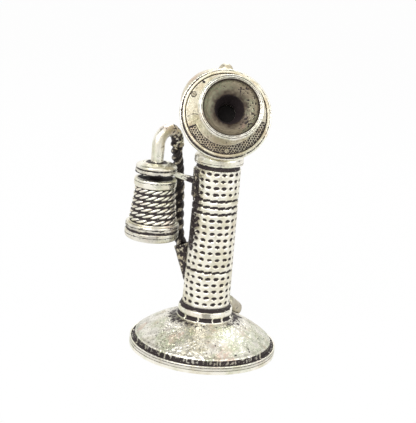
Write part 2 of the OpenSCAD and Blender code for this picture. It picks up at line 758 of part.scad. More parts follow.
module transmitter_cup() color("silver") difference() {
    union() {
        difference() {
            bulb(0);
            in_front_of(flange_back);
        }
        at_tilt() bar_x(-knuckle_w / 2, knuckle_w / 2, tilt_lug_r);
        translate([-knuckle_w / 2, tilt_pin_y - knuckle_y, tilt_pin_z])
            cube([knuckle_w, 2 * knuckle_y, 8]);
    }
    difference() {
        bulb(cup_wall);
        in_front_of(flange_back + 1);
    }
    at_tilt() bar_x(-far, far, tilt_pin_r + pin_fit);
    translate([0, knob_y, knob_z - 12]) cylinder(r = 2 + pin_fit, h = 20);
}

module at_faceplate_screws() face_frame() round_at(faceplate_screw_r, faceplate_screw_angles) children();

module transmitter_flange() color("silver") difference() {
    face_frame() rotate_extrude() polygon([
        [chamber_r, flange_back], [flange_r - 0.8, flange_back], [flange_r, flange_back + 1],
        [flange_r, -faceplate_t - 0.8], [flange_r - 0.8, -faceplate_t], [chamber_r, -faceplate_t]]);
    at_faceplate_screws() translate([0, 0, flange_back + 1]) cylinder(r = 1.2 + pin_fit, h = 20);
    at_bridge_screws() translate([0, 0, -1]) cylinder(r = 1.2 + pin_fit, h = 3.5);
}

module faceplate() color("silver") difference() {
    face_frame() rotate_extrude() polygon([
        [horn_stem_r - 1.6, -faceplate_t], [faceplate_r, -faceplate_t],
        [faceplate_r, faceplate_rim_h - 0.4], [faceplate_r - 0.4, faceplate_rim_h],
        [faceplate_r - faceplate_rim_w + 0.4, faceplate_rim_h], [faceplate_r - faceplate_rim_w, 0],
        [horn_stem_r - 1.6, 0]]);
    at_faceplate_screws() translate([0, 0, -10]) cylinder(r = 1.2 + slip_fit, h = 20);
}

module faceplate_screws() color("silver") at_faceplate_screws() {
    translate([0, 0, flange_back + 1.4]) cylinder(r = 1.2, h = -flange_back - 1.4 + eps);
    difference() {
        cylinder(r = 2.1, h = 1);
        translate([-3, -0.3, 0.5]) cube([6, 0.6, 2]);
    }
}

horn_bowl_z = horn_l - 11.5;
module mouthpiece() color("silver") face_frame() rotate_extrude() polygon([
    [horn_hole_r, -faceplate_t], [horn_stem_r - 1.6 - slip_fit, -faceplate_t],
    [horn_stem_r - 1.6 - slip_fit, 0], [horn_stem_r + 3, 0], [horn_stem_r + 3, 2], [horn_stem_r, 4],
    [horn_stem_r, horn_l - 21], [horn_stem_r + 1, horn_l - 16], [horn_stem_r + 4, horn_l - 11],
    [horn_stem_r + 9, horn_l - 6.5], [horn_r - 0.5, horn_l - 3.5], [horn_r, horn_l - 1.7],
    [horn_r - 0.9, horn_l], [horn_mouth_r + 0.7, horn_l], [horn_mouth_r, horn_l - 0.8],
    [horn_mouth_r - 1.3, horn_l - 4], [horn_mouth_r - 4.9, horn_l - 7.5],
    [horn_throat_r + 2.5, horn_l - 10], [horn_throat_r, horn_bowl_z],
    [horn_hole_r + 3.5, horn_l - 17], [horn_hole_r + 1, horn_l - 24], [horn_hole_r, 1]]);

diaphragm_top = -faceplate_t - 1.4;
gasket_t = 1.4;
module transmitter_gasket() color("dimgray") face_frame() difference() {
    translate([0, 0, diaphragm_top]) cylinder(r = chamber_r - slip_fit, h = gasket_t);
    translate([0, 0, diaphragm_top - 1]) cylinder(r = diaphragm_r - 3, h = gasket_t + 2);
}

module transmitter_diaphragm() color("lightgray") face_frame()
    translate([0, 0, diaphragm_top - diaphragm_t]) cylinder(r = diaphragm_r, h = diaphragm_t);

button_z = diaphragm_top - diaphragm_t - 2;
module carbon_button() color("goldenrod") face_frame() {
    translate([0, 0, button_z - button_l]) cylinder(r = button_r, h = button_l);
    translate([0, 0, button_z]) cylinder(r = 2, h = 2);
}

bridge_t = 2;
bridge_z = button_z - button_l - bridge_t;
bridge_half_w = 6;
bridge_foot_x = chamber_r + 1.3;
bridge_foot_t = 1.2;
module at_bridge_screws() face_frame() for (s = [-1, 1])
    translate([s * (bridge_foot_x), 0, flange_back]) children();

module button_bridge() color("goldenrod") difference() {
    face_frame() {
        translate([-chamber_r + 3, -bridge_half_w, bridge_z]) cube([2 * chamber_r - 6, 2 * bridge_half_w, bridge_t]);
        for (s = [0, 1]) mirror([s, 0, 0]) {
            translate([chamber_r - 5, -bridge_half_w, bridge_z])
                cube([2, 2 * bridge_half_w, flange_back - bridge_z]);
            translate([chamber_r - 5, -bridge_half_w, flange_back - bridge_foot_t])
                cube([bridge_foot_x - chamber_r + 6, 2 * bridge_half_w, bridge_foot_t]);
        }
    }
    at_bridge_screws() translate([0, 0, -4]) cylinder(r = 1.2 + slip_fit, h = 8);
    difference() {
        translate(face_place) sphere(r = far / 2);
        bulb(cup_wall + 0.4);
    }
}

module bridge_screws() color("silver") at_bridge_screws() {
    translate([0, 0, -bridge_foot_t - eps]) cylinder(r = 1.2, h = bridge_foot_t + 2.3);
}

module damping_springs() color("gold") face_frame() for (s = [0, 1]) rotate([0, 0, 180 * s])
    translate([-3, button_r + 3, diaphragm_top - diaphragm_t - 1]) cube([6, 10, 1]);

module transmitter_terminals() color("gold") face_frame() for (s = [-1, 1])
    translate([s * 12, 0, bridge_z - 3]) cylinder(r = 2.2, h = 3);

module top_knob() color("silver") difference() {
    union() {
        translate([0, knob_y, knob_z]) sphere(r = knob_r);
        translate([0, knob_y, knob_z - 10]) cylinder(r = 2, h = 10);
    }
    difference() {
        bulb(0);
        translate([0, knob_y, 0]) cylinder(r = 2, h = far * 2);
    }
}

// ---- Receiver ----
module barrel(extra) translate([0, 0, cap_top_z])
    cylinder(r1 = barrel_low_r + extra, r2 = barrel_high_r + extra, h = shell_ring_z - cap_top_z);

module receiver_shell() color("silver") receiver_frame() difference() {
    union() {
        barrel(0);
        translate([0, 0, diaphragm_z + 0.4]) cylinder(r = thread_r, h = cap_top_z - diaphragm_z);
        translate([0, 0, cap_top_z]) cylinder(r = band_low_r, h = shell_shoulder_h);
        translate([0, 0, shell_ring_z]) rotate_extrude() polygon([[0, 0], [shell_ring_r - 0.6, 0],
            [shell_ring_r, 1], [shell_ring_r, shell_ring_h - 1.2], [shell_ring_r - 1, shell_ring_h],
            [0, shell_ring_h]]);
    }
    translate([0, 0, diaphragm_z]) cylinder(r = thread_r - receiver_wall, h = cap_top_z - diaphragm_z);
    translate([0, 0, cap_top_z - eps])
        cylinder(r1 = barrel_low_r - receiver_wall, r2 = barrel_high_r - receiver_wall,
            h = chamber_top_z - cap_top_z);
    cylinder(r = hang_neck_r + slip_fit, h = far * 2);
}

function band_r(i) = band_low_r + (band_high_r - band_low_r) * i / (band_count - 1);
module receiver_bands() color("silver") receiver_frame() difference() {
    for (i = [0:band_count - 1]) translate([0, 0, first_band_z + i * band_pitch])
        rotate_extrude() translate([band_r(i) - band_wire_r, 0]) circle(r = band_wire_r, $fn = 32);
    barrel(0);
}

magnet_top_z = chamber_top_z - 1;
module tail_cap() color("silver") receiver_frame() difference() {
    rotate_extrude() polygon([[0, magnet_top_z], [hang_neck_r, magnet_top_z], [hang_neck_r, tail_z],
        [tail_r - 1.4, tail_z], [tail_r, tail_z + 1.2], [tail_r, tail_top_z - 1],
        [tail_r - 1.2, tail_top_z], [tail_r - 5, tail_top_z + tail_crown_h * 0.7],
        [spout_r + 3, crown_z], [0, crown_z]]);
    translate([0, 0, magnet_top_z]) cylinder(r = 1.6 + pin_fit, h = 9);
    translate([0, 0, magnet_top_z + 12]) cylinder(r = spout_r - 2, h = far);
}

module spout_frame() receiver_frame() rotate([0, 0, spout_turn]) children();
spout_bore_r = spout_r - 2;
// The half-round bend over the top, from the upright leg to the mouth
module spout_bend(r) translate([spout_bend_r, 0, spout_bend_z]) rotate([90, 0, 0])
    rotate_extrude(angle = 180) translate([spout_bend_r, 0]) circle(r = r);

module cord_spout() color("silver") spout_frame() difference() {
    union() {
        translate([0, 0, crown_z]) cylinder(r = spout_r, h = spout_bend_z - crown_z);
        translate([0, 0, crown_z]) cylinder(r = spout_r + 1.6, h = 1.6);
        spout_bend(spout_r);
    }
    translate([0, 0, crown_z - 1]) cylinder(r = spout_bore_r, h = spout_bend_z - crown_z + 1);
    spout_bend(spout_bore_r);
}

module spout_ferrule() color("silver") spout_frame() translate([spout_mouth, 0, spout_bend_z - ferrule_h])
    difference() {
        cylinder(r = spout_r + 0.5, h = ferrule_h);
        cylinder(r = spout_bore_r, h = far, center = true);
    }

module ear_cap() color("silver") receiver_frame() rotate_extrude() polygon([
    [ear_hole_r, earcap_z + ear_dish_d], [ear_dish_r, earcap_z], [earcap_r - 2.4, earcap_z],
    [earcap_r - 0.7, earcap_z + 1.2], [earcap_r, earcap_z + 3.4], [earcap_r, earcap_z + 7.6],
    [earcap_r - 1, earcap_z + 8.2], [earcap_r - 1, earcap_z + 9.8], [earcap_r - 0.3, earcap_z + 10.4],
    [earcap_r - 0.3, cap_top_z - 1], [earcap_r - 1.1, cap_top_z], [thread_r + pin_fit, cap_top_z],
    [thread_r + pin_fit, diaphragm_z], [thread_r - 2.6, diaphragm_z],
    [thread_r - 2.6, diaphragm_z - 1.4], [ear_hole_r, diaphragm_z - 1.4]]);

module receiver_diaphragm() color("lightgray") receiver_frame()
    translate([0, 0, diaphragm_z]) cylinder(r = thread_r - 0.7, h = 0.4);

module receiver_magnet() color("dimgray") receiver_frame() difference() {
    union() {
        for (s = [-1, 1]) translate([s * pole_x - magnet_t / 2, -4, magnet_leg_z])
            cube([magnet_t, 8, magnet_top_z - magnet_leg_z]);
        translate([-pole_x - magnet_t / 2, -4, magnet_top_z - magnet_t])
            cube([2 * pole_x + magnet_t, 8, magnet_t]);
    }
    cylinder(r = 1.6 + slip_fit, h = far);
}

module receiver_coils() color("peru") receiver_frame() for (s = [-1, 1])
    translate([s * pole_x, 0, coil_z]) difference() {
        cylinder(r = coil_r, h = coil_h);
        translate([0, 0, -1]) cylinder(r = pole_r + pin_fit, h = coil_h + 2);
    }

module pole_pieces() color("gray") receiver_frame() for (s = [-1, 1])
    translate([s * pole_x, 0, diaphragm_z + 1]) cylinder(r = pole_r, h = magnet_leg_z - diaphragm_z - 1);

module magnet_screw() color("silver") receiver_frame() {
    translate([0, 0, magnet_top_z - magnet_t - 1.8]) cylinder(r = 3, h = 1.8);
    translate([0, 0, magnet_top_z - magnet_t - eps]) cylinder(r = 1.6, h = magnet_t + 8);
}

// ---- Cord ----
cord_last = len(CORD_ROUTE);
SPOUT_MOUTH = [-receiver_x + spout_mouth * cos(spout_turn), spout_mouth * sin(spout_turn),
    spout_bend_z - ferrule_h];
CORD_POINTS = concat(CORD_ROUTE, [SPOUT_MOUTH]);
function unit(v) = v / norm(v);
function cord_way(i) = i == 0 ? unit(CORD_POINTS[1] - CORD_POINTS[0])
    : i == cord_last ? [0, 0, 1]
    : unit(CORD_POINTS[i + 1] - CORD_POINTS[i - 1]);
function ring(p, t) = let (u = unit(cross(t, [1, 0, 0])), v = cross(t, u))
    [for (k = [0:cord_sides - 1]) let (a = 360 * k / cord_sides) p + cord_r * (u * cos(a) + v * sin(a))];
module receiver_cord() color("dimgray") polyhedron(
    points = [for (i = [0:cord_last]) each ring(CORD_POINTS[i], cord_way(i))],
    faces = concat(
        [[for (k = [0:cord_sides - 1]) k]],
        [for (i = [0:cord_last - 1], k = [0:cord_sides - 1]) let (n = (k + 1) % cord_sides, a = i * cord_sides)
            each [[a + k, a + cord_sides + k, a + n], [a + n, a + cord_sides + k, a + cord_sides + n]]],
        [[for (k = [0:cord_sides - 1]) cord_last * cord_sides + cord_sides - 1 - k]]));

felt_pad();
base_plate();
base_plate_screws();
base_shell();
ballast_ring();
ballast_screws();
terminal_block();
terminal_screws();
line_cord_inlet();
base_collar();
column_foot();
column_nut();
column_tube();
neck_cap();
tilt_bracket();
bracket_foot_screws();
tilt_pin();
tilt_nut();
hook_bracket();
bracket_screws();
hook_pivot_pin();
hook_escutcheon();
fixed_contact_springs();
moving_spring_root();
spring_insulators();
stack_screws();
cord_bushing();
switch_hook();
hook_stud();
stud_rivet();
moving_contact_spring();
lift_spring();
transmitter_cup();
transmitter_flange();
faceplate();
faceplate_screws();
mouthpiece();
transmitter_gasket();
transmitter_diaphragm();
carbon_button();
button_bridge();
bridge_screws();
damping_springs();
transmitter_terminals();
top_knob();
receiver_shell();
receiver_bands();
tail_cap();
cord_spout();
spout_ferrule();
ear_cap();
receiver_diaphragm();
receiver_magnet();
receiver_coils();
pole_pieces();
magnet_screw();
receiver_cord();
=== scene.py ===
"""Candlestick desk telephone in antique silver.

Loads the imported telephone, gives each piece its finish, stands full-relief castings in for
the plain ones, lays the receiver cord, and sets up the camera, the lamps and the floor.
Shapes are worked out in millimetres and handed to Blender in metres.
"""

import itertools
import math

import bmesh
import bpy
import numpy as np
from bpy.props import FloatProperty, FloatVectorProperty, IntProperty, PointerProperty
from mathutils import Matrix, Vector


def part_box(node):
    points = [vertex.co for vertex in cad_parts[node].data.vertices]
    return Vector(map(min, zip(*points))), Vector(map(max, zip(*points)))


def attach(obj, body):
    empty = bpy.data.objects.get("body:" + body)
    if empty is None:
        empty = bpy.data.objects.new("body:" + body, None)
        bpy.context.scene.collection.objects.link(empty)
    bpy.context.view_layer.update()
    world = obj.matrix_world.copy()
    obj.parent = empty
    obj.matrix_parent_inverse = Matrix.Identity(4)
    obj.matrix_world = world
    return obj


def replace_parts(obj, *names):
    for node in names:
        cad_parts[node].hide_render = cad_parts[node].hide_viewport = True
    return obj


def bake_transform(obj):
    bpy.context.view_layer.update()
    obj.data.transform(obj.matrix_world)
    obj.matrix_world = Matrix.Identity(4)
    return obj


bl_info = {
    "name": "Candlestick telephone",
    "version": (1, 0, 0),
    "blender": (4, 5, 0),
    "location": "View3D > Sidebar > Telephone",
    "description": "Antique silver looks for a candlestick desk telephone",
    "category": "Object",
}

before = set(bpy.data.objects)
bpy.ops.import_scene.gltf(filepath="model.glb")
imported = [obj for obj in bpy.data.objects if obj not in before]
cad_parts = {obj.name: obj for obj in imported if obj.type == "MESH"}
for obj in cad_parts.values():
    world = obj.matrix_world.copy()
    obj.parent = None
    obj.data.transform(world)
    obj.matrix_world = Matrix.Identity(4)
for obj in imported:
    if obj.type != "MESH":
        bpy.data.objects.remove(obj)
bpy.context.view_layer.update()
MM = 0.001
FULL_TURN = 2 * math.pi


# ---- Colours and sizes that a user would change ----


def linear(hex_colour):
    """Linear RGB of an sRGB hex colour."""
    parts = [int(hex_colour[i : i + 2], 16) / 255 for i in (1, 3, 5)]
    return tuple(c / 12.92 if c <= 0.04045 else ((c + 0.055) / 1.055) ** 2.4 for c in parts)


def colour_property(name, description, hex_colour):
    return FloatVectorProperty(
        name=name,
        description=description,
        subtype="COLOR",
        size=3,
        min=0,
        max=1,
        default=linear(hex_colour),
    )


def length_property(name, description, millimetres):
    return FloatProperty(
        name=name,
        description=description,
        subtype="DISTANCE",
        unit="LENGTH",
        min=0,
        default=millimetres * MM,
    )


class TelephoneSilver(bpy.types.PropertyGroup):
    """Colours of the oxidised and rubbed silver."""

    polished: colour_property("Polished", "High places, rubbed bright", "#fbf7ea")
    rubbed: colour_property("Rubbed", "Places that were rubbed less", "#e6dfca")
    matted: colour_property("Matted", "Punched ground of the faceplate", "#cfc2a6")
    # The oxide and tarnish colours also paint shade: on the column's side towards the receiver, in
    # the mouthpiece's throat, under the tail cap and round the collar.
    oxide: colour_property("Oxide", "Black left in the recesses", "#332a2b")
    tarnish: colour_property("Tarnish", "Smooth brown film that deepens to black", "#3f3226")
    lichen: colour_property("Greenish bloom", "Cool cast in the tarnish", "#bccaa6")
    blush: colour_property("Rosy bloom", "Warm cast in the tarnish", "#e3c0ae")


class TelephoneRelief(bpy.types.PropertyGroup):
    """Sizes of the cast relief."""

    dimples_round: IntProperty(
        name="Dimples round", description="Dimples in one row of the column", default=18, min=6
    )
    dimple_rise: length_property("Row spacing", "Height from one row of dimples to the next", 6.2)
    dimple_width: length_property("Dimple width", "Width of a dimple round the column", 5.6)
    dimple_height: length_property("Dimple height", "Height of a dimple", 3.4)
    dimple_depth: length_property("Dimple depth", "Depth of a dimple", 1.2)
    dent_depth: length_property("Dent depth", "Depth of the hammer marks on the dome", 0.34)


class TelephoneCord(bpy.types.PropertyGroup):
    """Sizes of the receiver cord."""

    diameter: length_property("Diameter", "Thickness of the three-strand cord", 11)
    lay: length_property("Lay", "Length in which a strand goes once round", 27)


class TelephoneView(bpy.types.PropertyGroup):
    """Where the camera stands."""

    azimuth: FloatProperty(
        name="Azimuth",
        description="Angle round the telephone, from its front",
        subtype="ANGLE",
        default=math.radians(-8),
    )
    elevation: FloatProperty(
        name="Elevation",
        description="Angle above the table",
        subtype="ANGLE",
        default=math.radians(14.8),
    )
    roll: FloatProperty(
        name="Roll",
        description="Turn of the camera about its own axis",
        subtype="ANGLE",
        default=math.radians(5.3),
    )
    distance: length_property("Distance", "From the camera to the telephone's middle", 1000)
    aim_height: length_property("Aim height", "Height of the point in the middle of the view", 134)
    aim_left: length_property("Aim left", "How far left of the column the camera points", 5.8)
    lens: FloatProperty(
        name="Lens", description="Focal length", subtype="DISTANCE_CAMERA", default=91.2
    )


# ---- Shapes: points in millimetres and the faces between them ----


def fade(value, start, end):
    """0 at start, 1 at end, and smooth between them."""
    t = np.clip((value - start) / (end - start), 0, 1)
    return t * t * (3 - 2 * t)


def band(value, low, high, soft):
    """1 between low and high, and 0 outside them."""
    return fade(value, low - soft, low + soft) * (1 - fade(value, high - soft, high + soft))


def lumps(points, size, seed=0):
    """Random relief from -1 to 1 whose lumps are about size millimetres across."""
    spot = points / size + seed * 17.31
    cell = np.floor(spot).astype(np.int64)
    t = spot - cell
    t = t * t * (3 - 2 * t)
    total = np.zeros(len(points))
    for corner in itertools.product((0, 1), repeat=3):
        n = cell + corner
        mixed = (n[:, 0] * 73856093) ^ (n[:, 1] * 19349663) ^ (n[:, 2] * 83492791)
        mixed = (mixed ^ (mixed >> 13)) * 1274126177
        share = np.where(corner, t, 1 - t).prod(axis=1)
        total += (((mixed >> 5) & 0xFFFF) / 32767.5 - 1) * share
    return total


def polar(points):
    """Radius, and angle from 0 to a full turn, about the vertical axis."""
    return np.hypot(points[:, 0], points[:, 1]), np.arctan2(points[:, 1], points[:, 0]) % FULL_TURN


def apart(angle, other):
    """Angle between two directions, without its sign."""
    return np.abs((angle - other + math.pi) % FULL_TURN - math.pi)


def rounded(corners, step, closed=True):
    """Outline through corners of (radius, height, rounding), with points at most step apart."""
    count, points = len(corners), []
    for i in range(count):
        here = np.array(corners[i][:2], float)
        bend = corners[i][2] if len(corners[i]) > 2 else 0
        if bend and (closed or 0 < i < count - 1):
            ends = []
            for other in (corners[i - 1], corners[(i + 1) % count]):
                side = np.array(other[:2], float) - here
                ends.append(here + side * min(bend / np.linalg.norm(side), 0.45))
            pieces = max(2, math.ceil(2 * bend / step))
            for k in range(pieces + 1):
                t = k / pieces
                points.append((1 - t) ** 2 * ends[0] + 2 * t * (1 - t) * here + t * t * ends[1])
        else:
            points.append(here)
    following = points[1:] + points[:1] if closed else points[1:]
    dense = []
    for p, q in zip(points, following):
        pieces = max(1, math.ceil(np.linalg.norm(q - p) / step))
        dense += [p + (q - p) * k / pieces for k in range(pieces)]
    if not closed:
        dense.append(points[-1])
    return dense


def turned(outline, segments, closed=True):
    """A body of revolution from an outline of (radius, height)."""
    angle = np.arange(segments) * FULL_TURN / segments
    points, rows = [], []
    for r, z in outline:
        if r < 1e-6:
            rows.append([len(points)] * segments)
            points.append((0, 0, z))
        else:
            rows.append(list(range(len(points), len(points) + segments)))
            points += zip(r * np.cos(angle), r * np.sin(angle), [z] * segments)
    faces = []
    for low, high in zip(rows, rows[1:] + rows[:1] if closed else rows[1:]):
        for k in range(segments):
            n = (k + 1) % segments
            face = list(dict.fromkeys((low[k], low[n], high[n], high[k])))
            if len(face) > 2:
                faces.append(face)
    return np.array(points, float), faces


def along(route, spacing):
    """A smooth line through the route's points, with even spacing."""
    route = np.array(route, float)
    ends = np.vstack([2 * route[0] - route[1], route, 2 * route[-1] - route[-2]])
    line = []
    for a, b, c, d in zip(ends, ends[1:], ends[2:], ends[3:]):
        for t in np.arange(0, 1, 0.05):
            line.append(
                0.5
                * (
                    2 * b
                    + (c - a) * t
                    + (2 * a - 5 * b + 4 * c - d) * t**2
                    + (3 * b - a - 3 * c + d) * t**3
                )
            )
    line = np.array([*line, route[-1]])
    run = np.concatenate([[0], np.cumsum(np.linalg.norm(np.diff(line, axis=0), axis=1))])
    marks = np.linspace(0, run[-1], max(2, round(run[-1] / spacing)) + 1)
    return np.column_stack([np.interp(marks, run, line[:, i]) for i in range(3)])


def frames(line):
    """Two directions across a line at each of its points, turning as little as they can."""
    ways = np.gradient(line, axis=0)
    ways /= np.linalg.norm(ways, axis=1)[:, None]
    side = np.cross(ways[0], (0.31, 0.17, 0.94))
    sides = []
    for way in ways:
        side = side - way * (side @ way)
        side = side / np.linalg.norm(side)
        sides.append(side)
    sides = np.array(sides)
    return sides, np.cross(ways, sides)


def tube(line, radii, sides):
    """A closed tube along a line."""
    across, over = frames(line)
    turn = np.arange(sides) * FULL_TURN / sides
    radii = np.broadcast_to(np.asarray(radii, float), len(line))
    turn = turn[None, :, None]
    ring = across[:, None] * np.cos(turn) + over[:, None] * np.sin(turn)
    points = (line[:, None] + ring * radii[:, None, None]).reshape(-1, 3)
    faces = [list(range(sides))[::-1], list(range(len(points) - sides, len(points)))]
    for i in range(len(line) - 1):
        for k in range(sides):
            a, b = i * sides + k, i * sides + (k + 1) % sides
            faces.append([a, b, b + sides, a + sides])
    return points, faces


def together(*shapes):
    """Several shapes as one."""
    points, faces, start = [], [], 0
    for p, f in shapes:
        points.append(p)
        faces += [[i + start for i in face] for face in f]
        start += len(p)
    return np.vstack(points), faces


def box_shape(low, high):
    """A plain block, to cut with."""
    points = np.array(list(itertools.product(*zip(low, high))), float)
    sides = [0, 1, 3, 2], [4, 6, 7, 5], [0, 4, 5, 1], [2, 3, 7, 6], [0, 2, 6, 4], [1, 5, 7, 3]
    return points, sides


def sheet(width, height):
    """A flat rectangle round the origin."""
    x, y = width / 2, height / 2
    return [(-x, -y, 0), (x, -y, 0), (x, y, 0), (-x, y, 0)], [[0, 1, 2, 3]]


def rod(start, end, radius, sides=32):
    """A round bar from one point to another, to cut with."""
    return tube(np.linspace(start, end, 3), radius, sides)


def as_mesh(name, shape):
    """A Blender mesh of a shape, still in millimetres, with its faces turned outwards."""
    mesh = bpy.data.meshes.new(name)
    mesh.from_pydata(np.asarray(shape[0], float).tolist(), [], shape[1])
    raw = bmesh.new()
    raw.from_mesh(mesh)
    if raw.calc_volume(signed=True) < 0:
        bmesh.ops.reverse_faces(raw, faces=raw.faces)
    raw.to_mesh(mesh)
    raw.free()
    return mesh


def read(mesh):
    """The shape of a Blender mesh."""
    points = np.empty(len(mesh.vertices) * 3, np.float32)
    mesh.vertices.foreach_get("co", points)
    return points.reshape(-1, 3).astype(float), [list(p.vertices) for p in mesh.polygons]


def worked(shape, *modifiers):
    """The shape after modifiers of (type, settings), whose cutting tools are shapes."""
    body = bpy.data.objects.new("blank", as_mesh("blank", shape))
    bpy.context.scene.collection.objects.link(body)
    tools = []
    for kind, settings in modifiers:
        modifier = body.modifiers.new(kind, kind)
        for name, value in settings.items():
            if name == "object":
                value = bpy.data.objects.new("tool", as_mesh("tool", value))
                bpy.context.scene.collection.objects.link(value)
                tools.append(value)
            setattr(modifier, name, value)
    depsgraph = bpy.context.evaluated_depsgraph_get()
    made = bpy.data.meshes.new_from_object(body.evaluated_get(depsgraph))
    result = read(made)
    for o in (body, *tools):
        mesh = o.data
        bpy.data.objects.remove(o)
        bpy.data.meshes.remove(mesh)
    bpy.data.meshes.remove(made)
    return result


def cut(shape, *tools):
    """A shape with tools cut out of it."""
    return worked(
        shape,
        *[("BOOLEAN", {"operation": "DIFFERENCE", "solver": "EXACT", "object": t}) for t in tools],
    )


def softened(node, voxel, factor=0.5, repeats=4):
    """A CAD node as a casting of even, small faces, whose edges are worn round."""
    points, faces = read(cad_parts[node].data)
    return worked(
        (points / MM, faces),
        ("WELD", {"merge_threshold": 0.002}),
        ("REMESH", {"mode": "VOXEL", "voxel_size": voxel}),
        ("SMOOTH", {"factor": factor, "iterations": repeats}),
    )


def hollows(points, normals, edges, rounds):
    """How far each point lies below its neighbourhood, in millimetres."""
    mean, share = points.copy(), np.bincount(edges.ravel(), minlength=len(points))
    share = np.maximum(share, 1)
    for _ in range(rounds):
        mean = np.column_stack(
            [
                (
                    np.bincount(edges[:, 0], mean[edges[:, 1], i], len(points))
                    + np.bincount(edges[:, 1], mean[edges[:, 0], i], len(points))
                )
                / share
                for i in range(3)
            ]
        )
    return ((mean - points) * normals).sum(axis=1)


# Rounds of averaging, and the depth in millimetres at which a hollow is fully black
HOLLOW_ROUNDS, HOLLOW_BLACK = 3, 0.12


def casting(
    name, shape, body, finish, stands_for, relief=None, place=Matrix()
):
    """A cast piece. relief(points, normals) gives the height to add in millimetres, how much
    black oxide each point keeps, and sometimes how tarnished it is, from 0 to 1. Small hollows
    keep some oxide by themselves."""
    mesh = as_mesh(name, shape)
    points = read(mesh)[0]
    normals = np.empty(len(points) * 3, np.float32)
    mesh.vertex_normals.foreach_get("vector", normals)
    normals = normals.reshape(-1, 3).astype(float)
    edges = np.empty(len(mesh.edges) * 2, np.int32)
    mesh.edges.foreach_get("vertices", edges)
    oxide = tarnish = np.zeros(len(points))
    if relief:
        height, oxide, *rest = relief(points, normals)
        points = points + normals * height[:, None]
        tarnish = rest[0] if rest else tarnish
    oxide = oxide + np.clip(
        hollows(points, normals, edges.reshape(-1, 2), HOLLOW_ROUNDS) / HOLLOW_BLACK, -0.2, 0.8
    )
    mesh.vertices.foreach_set("co", points.astype(np.float32).ravel())
    for layer, share in (("oxide", oxide), ("tarnish", tarnish)):
        stored = mesh.attributes.new(layer, "FLOAT", "POINT")
        stored.data.foreach_set("value", np.clip(share, 0, 1).astype(np.float32))
    mesh.transform(Matrix.Scale(MM, 4) @ place)
    mesh.shade_smooth()
    mesh.materials.append(finish)
    piece = bpy.data.objects.new(name, mesh)
    bpy.context.scene.collection.objects.link(piece)
    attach(piece, body)
    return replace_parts(piece, *stands_for)


# ---- Finishes ----


def add(tree, kind, sockets=None, stops=None, **settings):
    """Adds a node, with its settings and any colour stops, and sets or links its sockets."""
    made = tree.nodes.new(kind)
    for name, value in settings.items():
        setattr(made, name, value)
    for i, (place, colour) in enumerate(stops or ()):
        stop = made.color_ramp.elements[i] if i < 2 else made.color_ramp.elements.new(place)
        stop.position, stop.color = place, (*colour, 1)
    for name, value in (sockets or {}).items():
        if isinstance(value, bpy.types.NodeSocket):
            tree.links.new(value, made.inputs[name])
        else:
            made.inputs[name].default_value = value
    return made


def seen_directly(tree):
    """1 for what the camera sees, straight, in a reflection or through glass, and 0 for the light
    that falls on things."""
    path = add(tree, "ShaderNodeLightPath").outputs
    seen = path["Is Camera Ray"]
    for other in ("Is Glossy Ray", "Is Transmission Ray"):
        sockets = {0: seen, 1: path[other]}
        seen = add(tree, "ShaderNodeMath", sockets, operation="MAXIMUM").outputs[0]
    return seen


def blank_material(name):
    """A new material with one Principled shader, and the tree to add nodes to."""
    material = bpy.data.materials.new(name)
    material.use_nodes = True
    tree = material.node_tree
    tree.nodes.clear()
    shader = add(tree, "ShaderNodeBsdfPrincipled")
    add(tree, "ShaderNodeOutputMaterial", {"Surface": shader.outputs["BSDF"]})
    return material, tree, shader


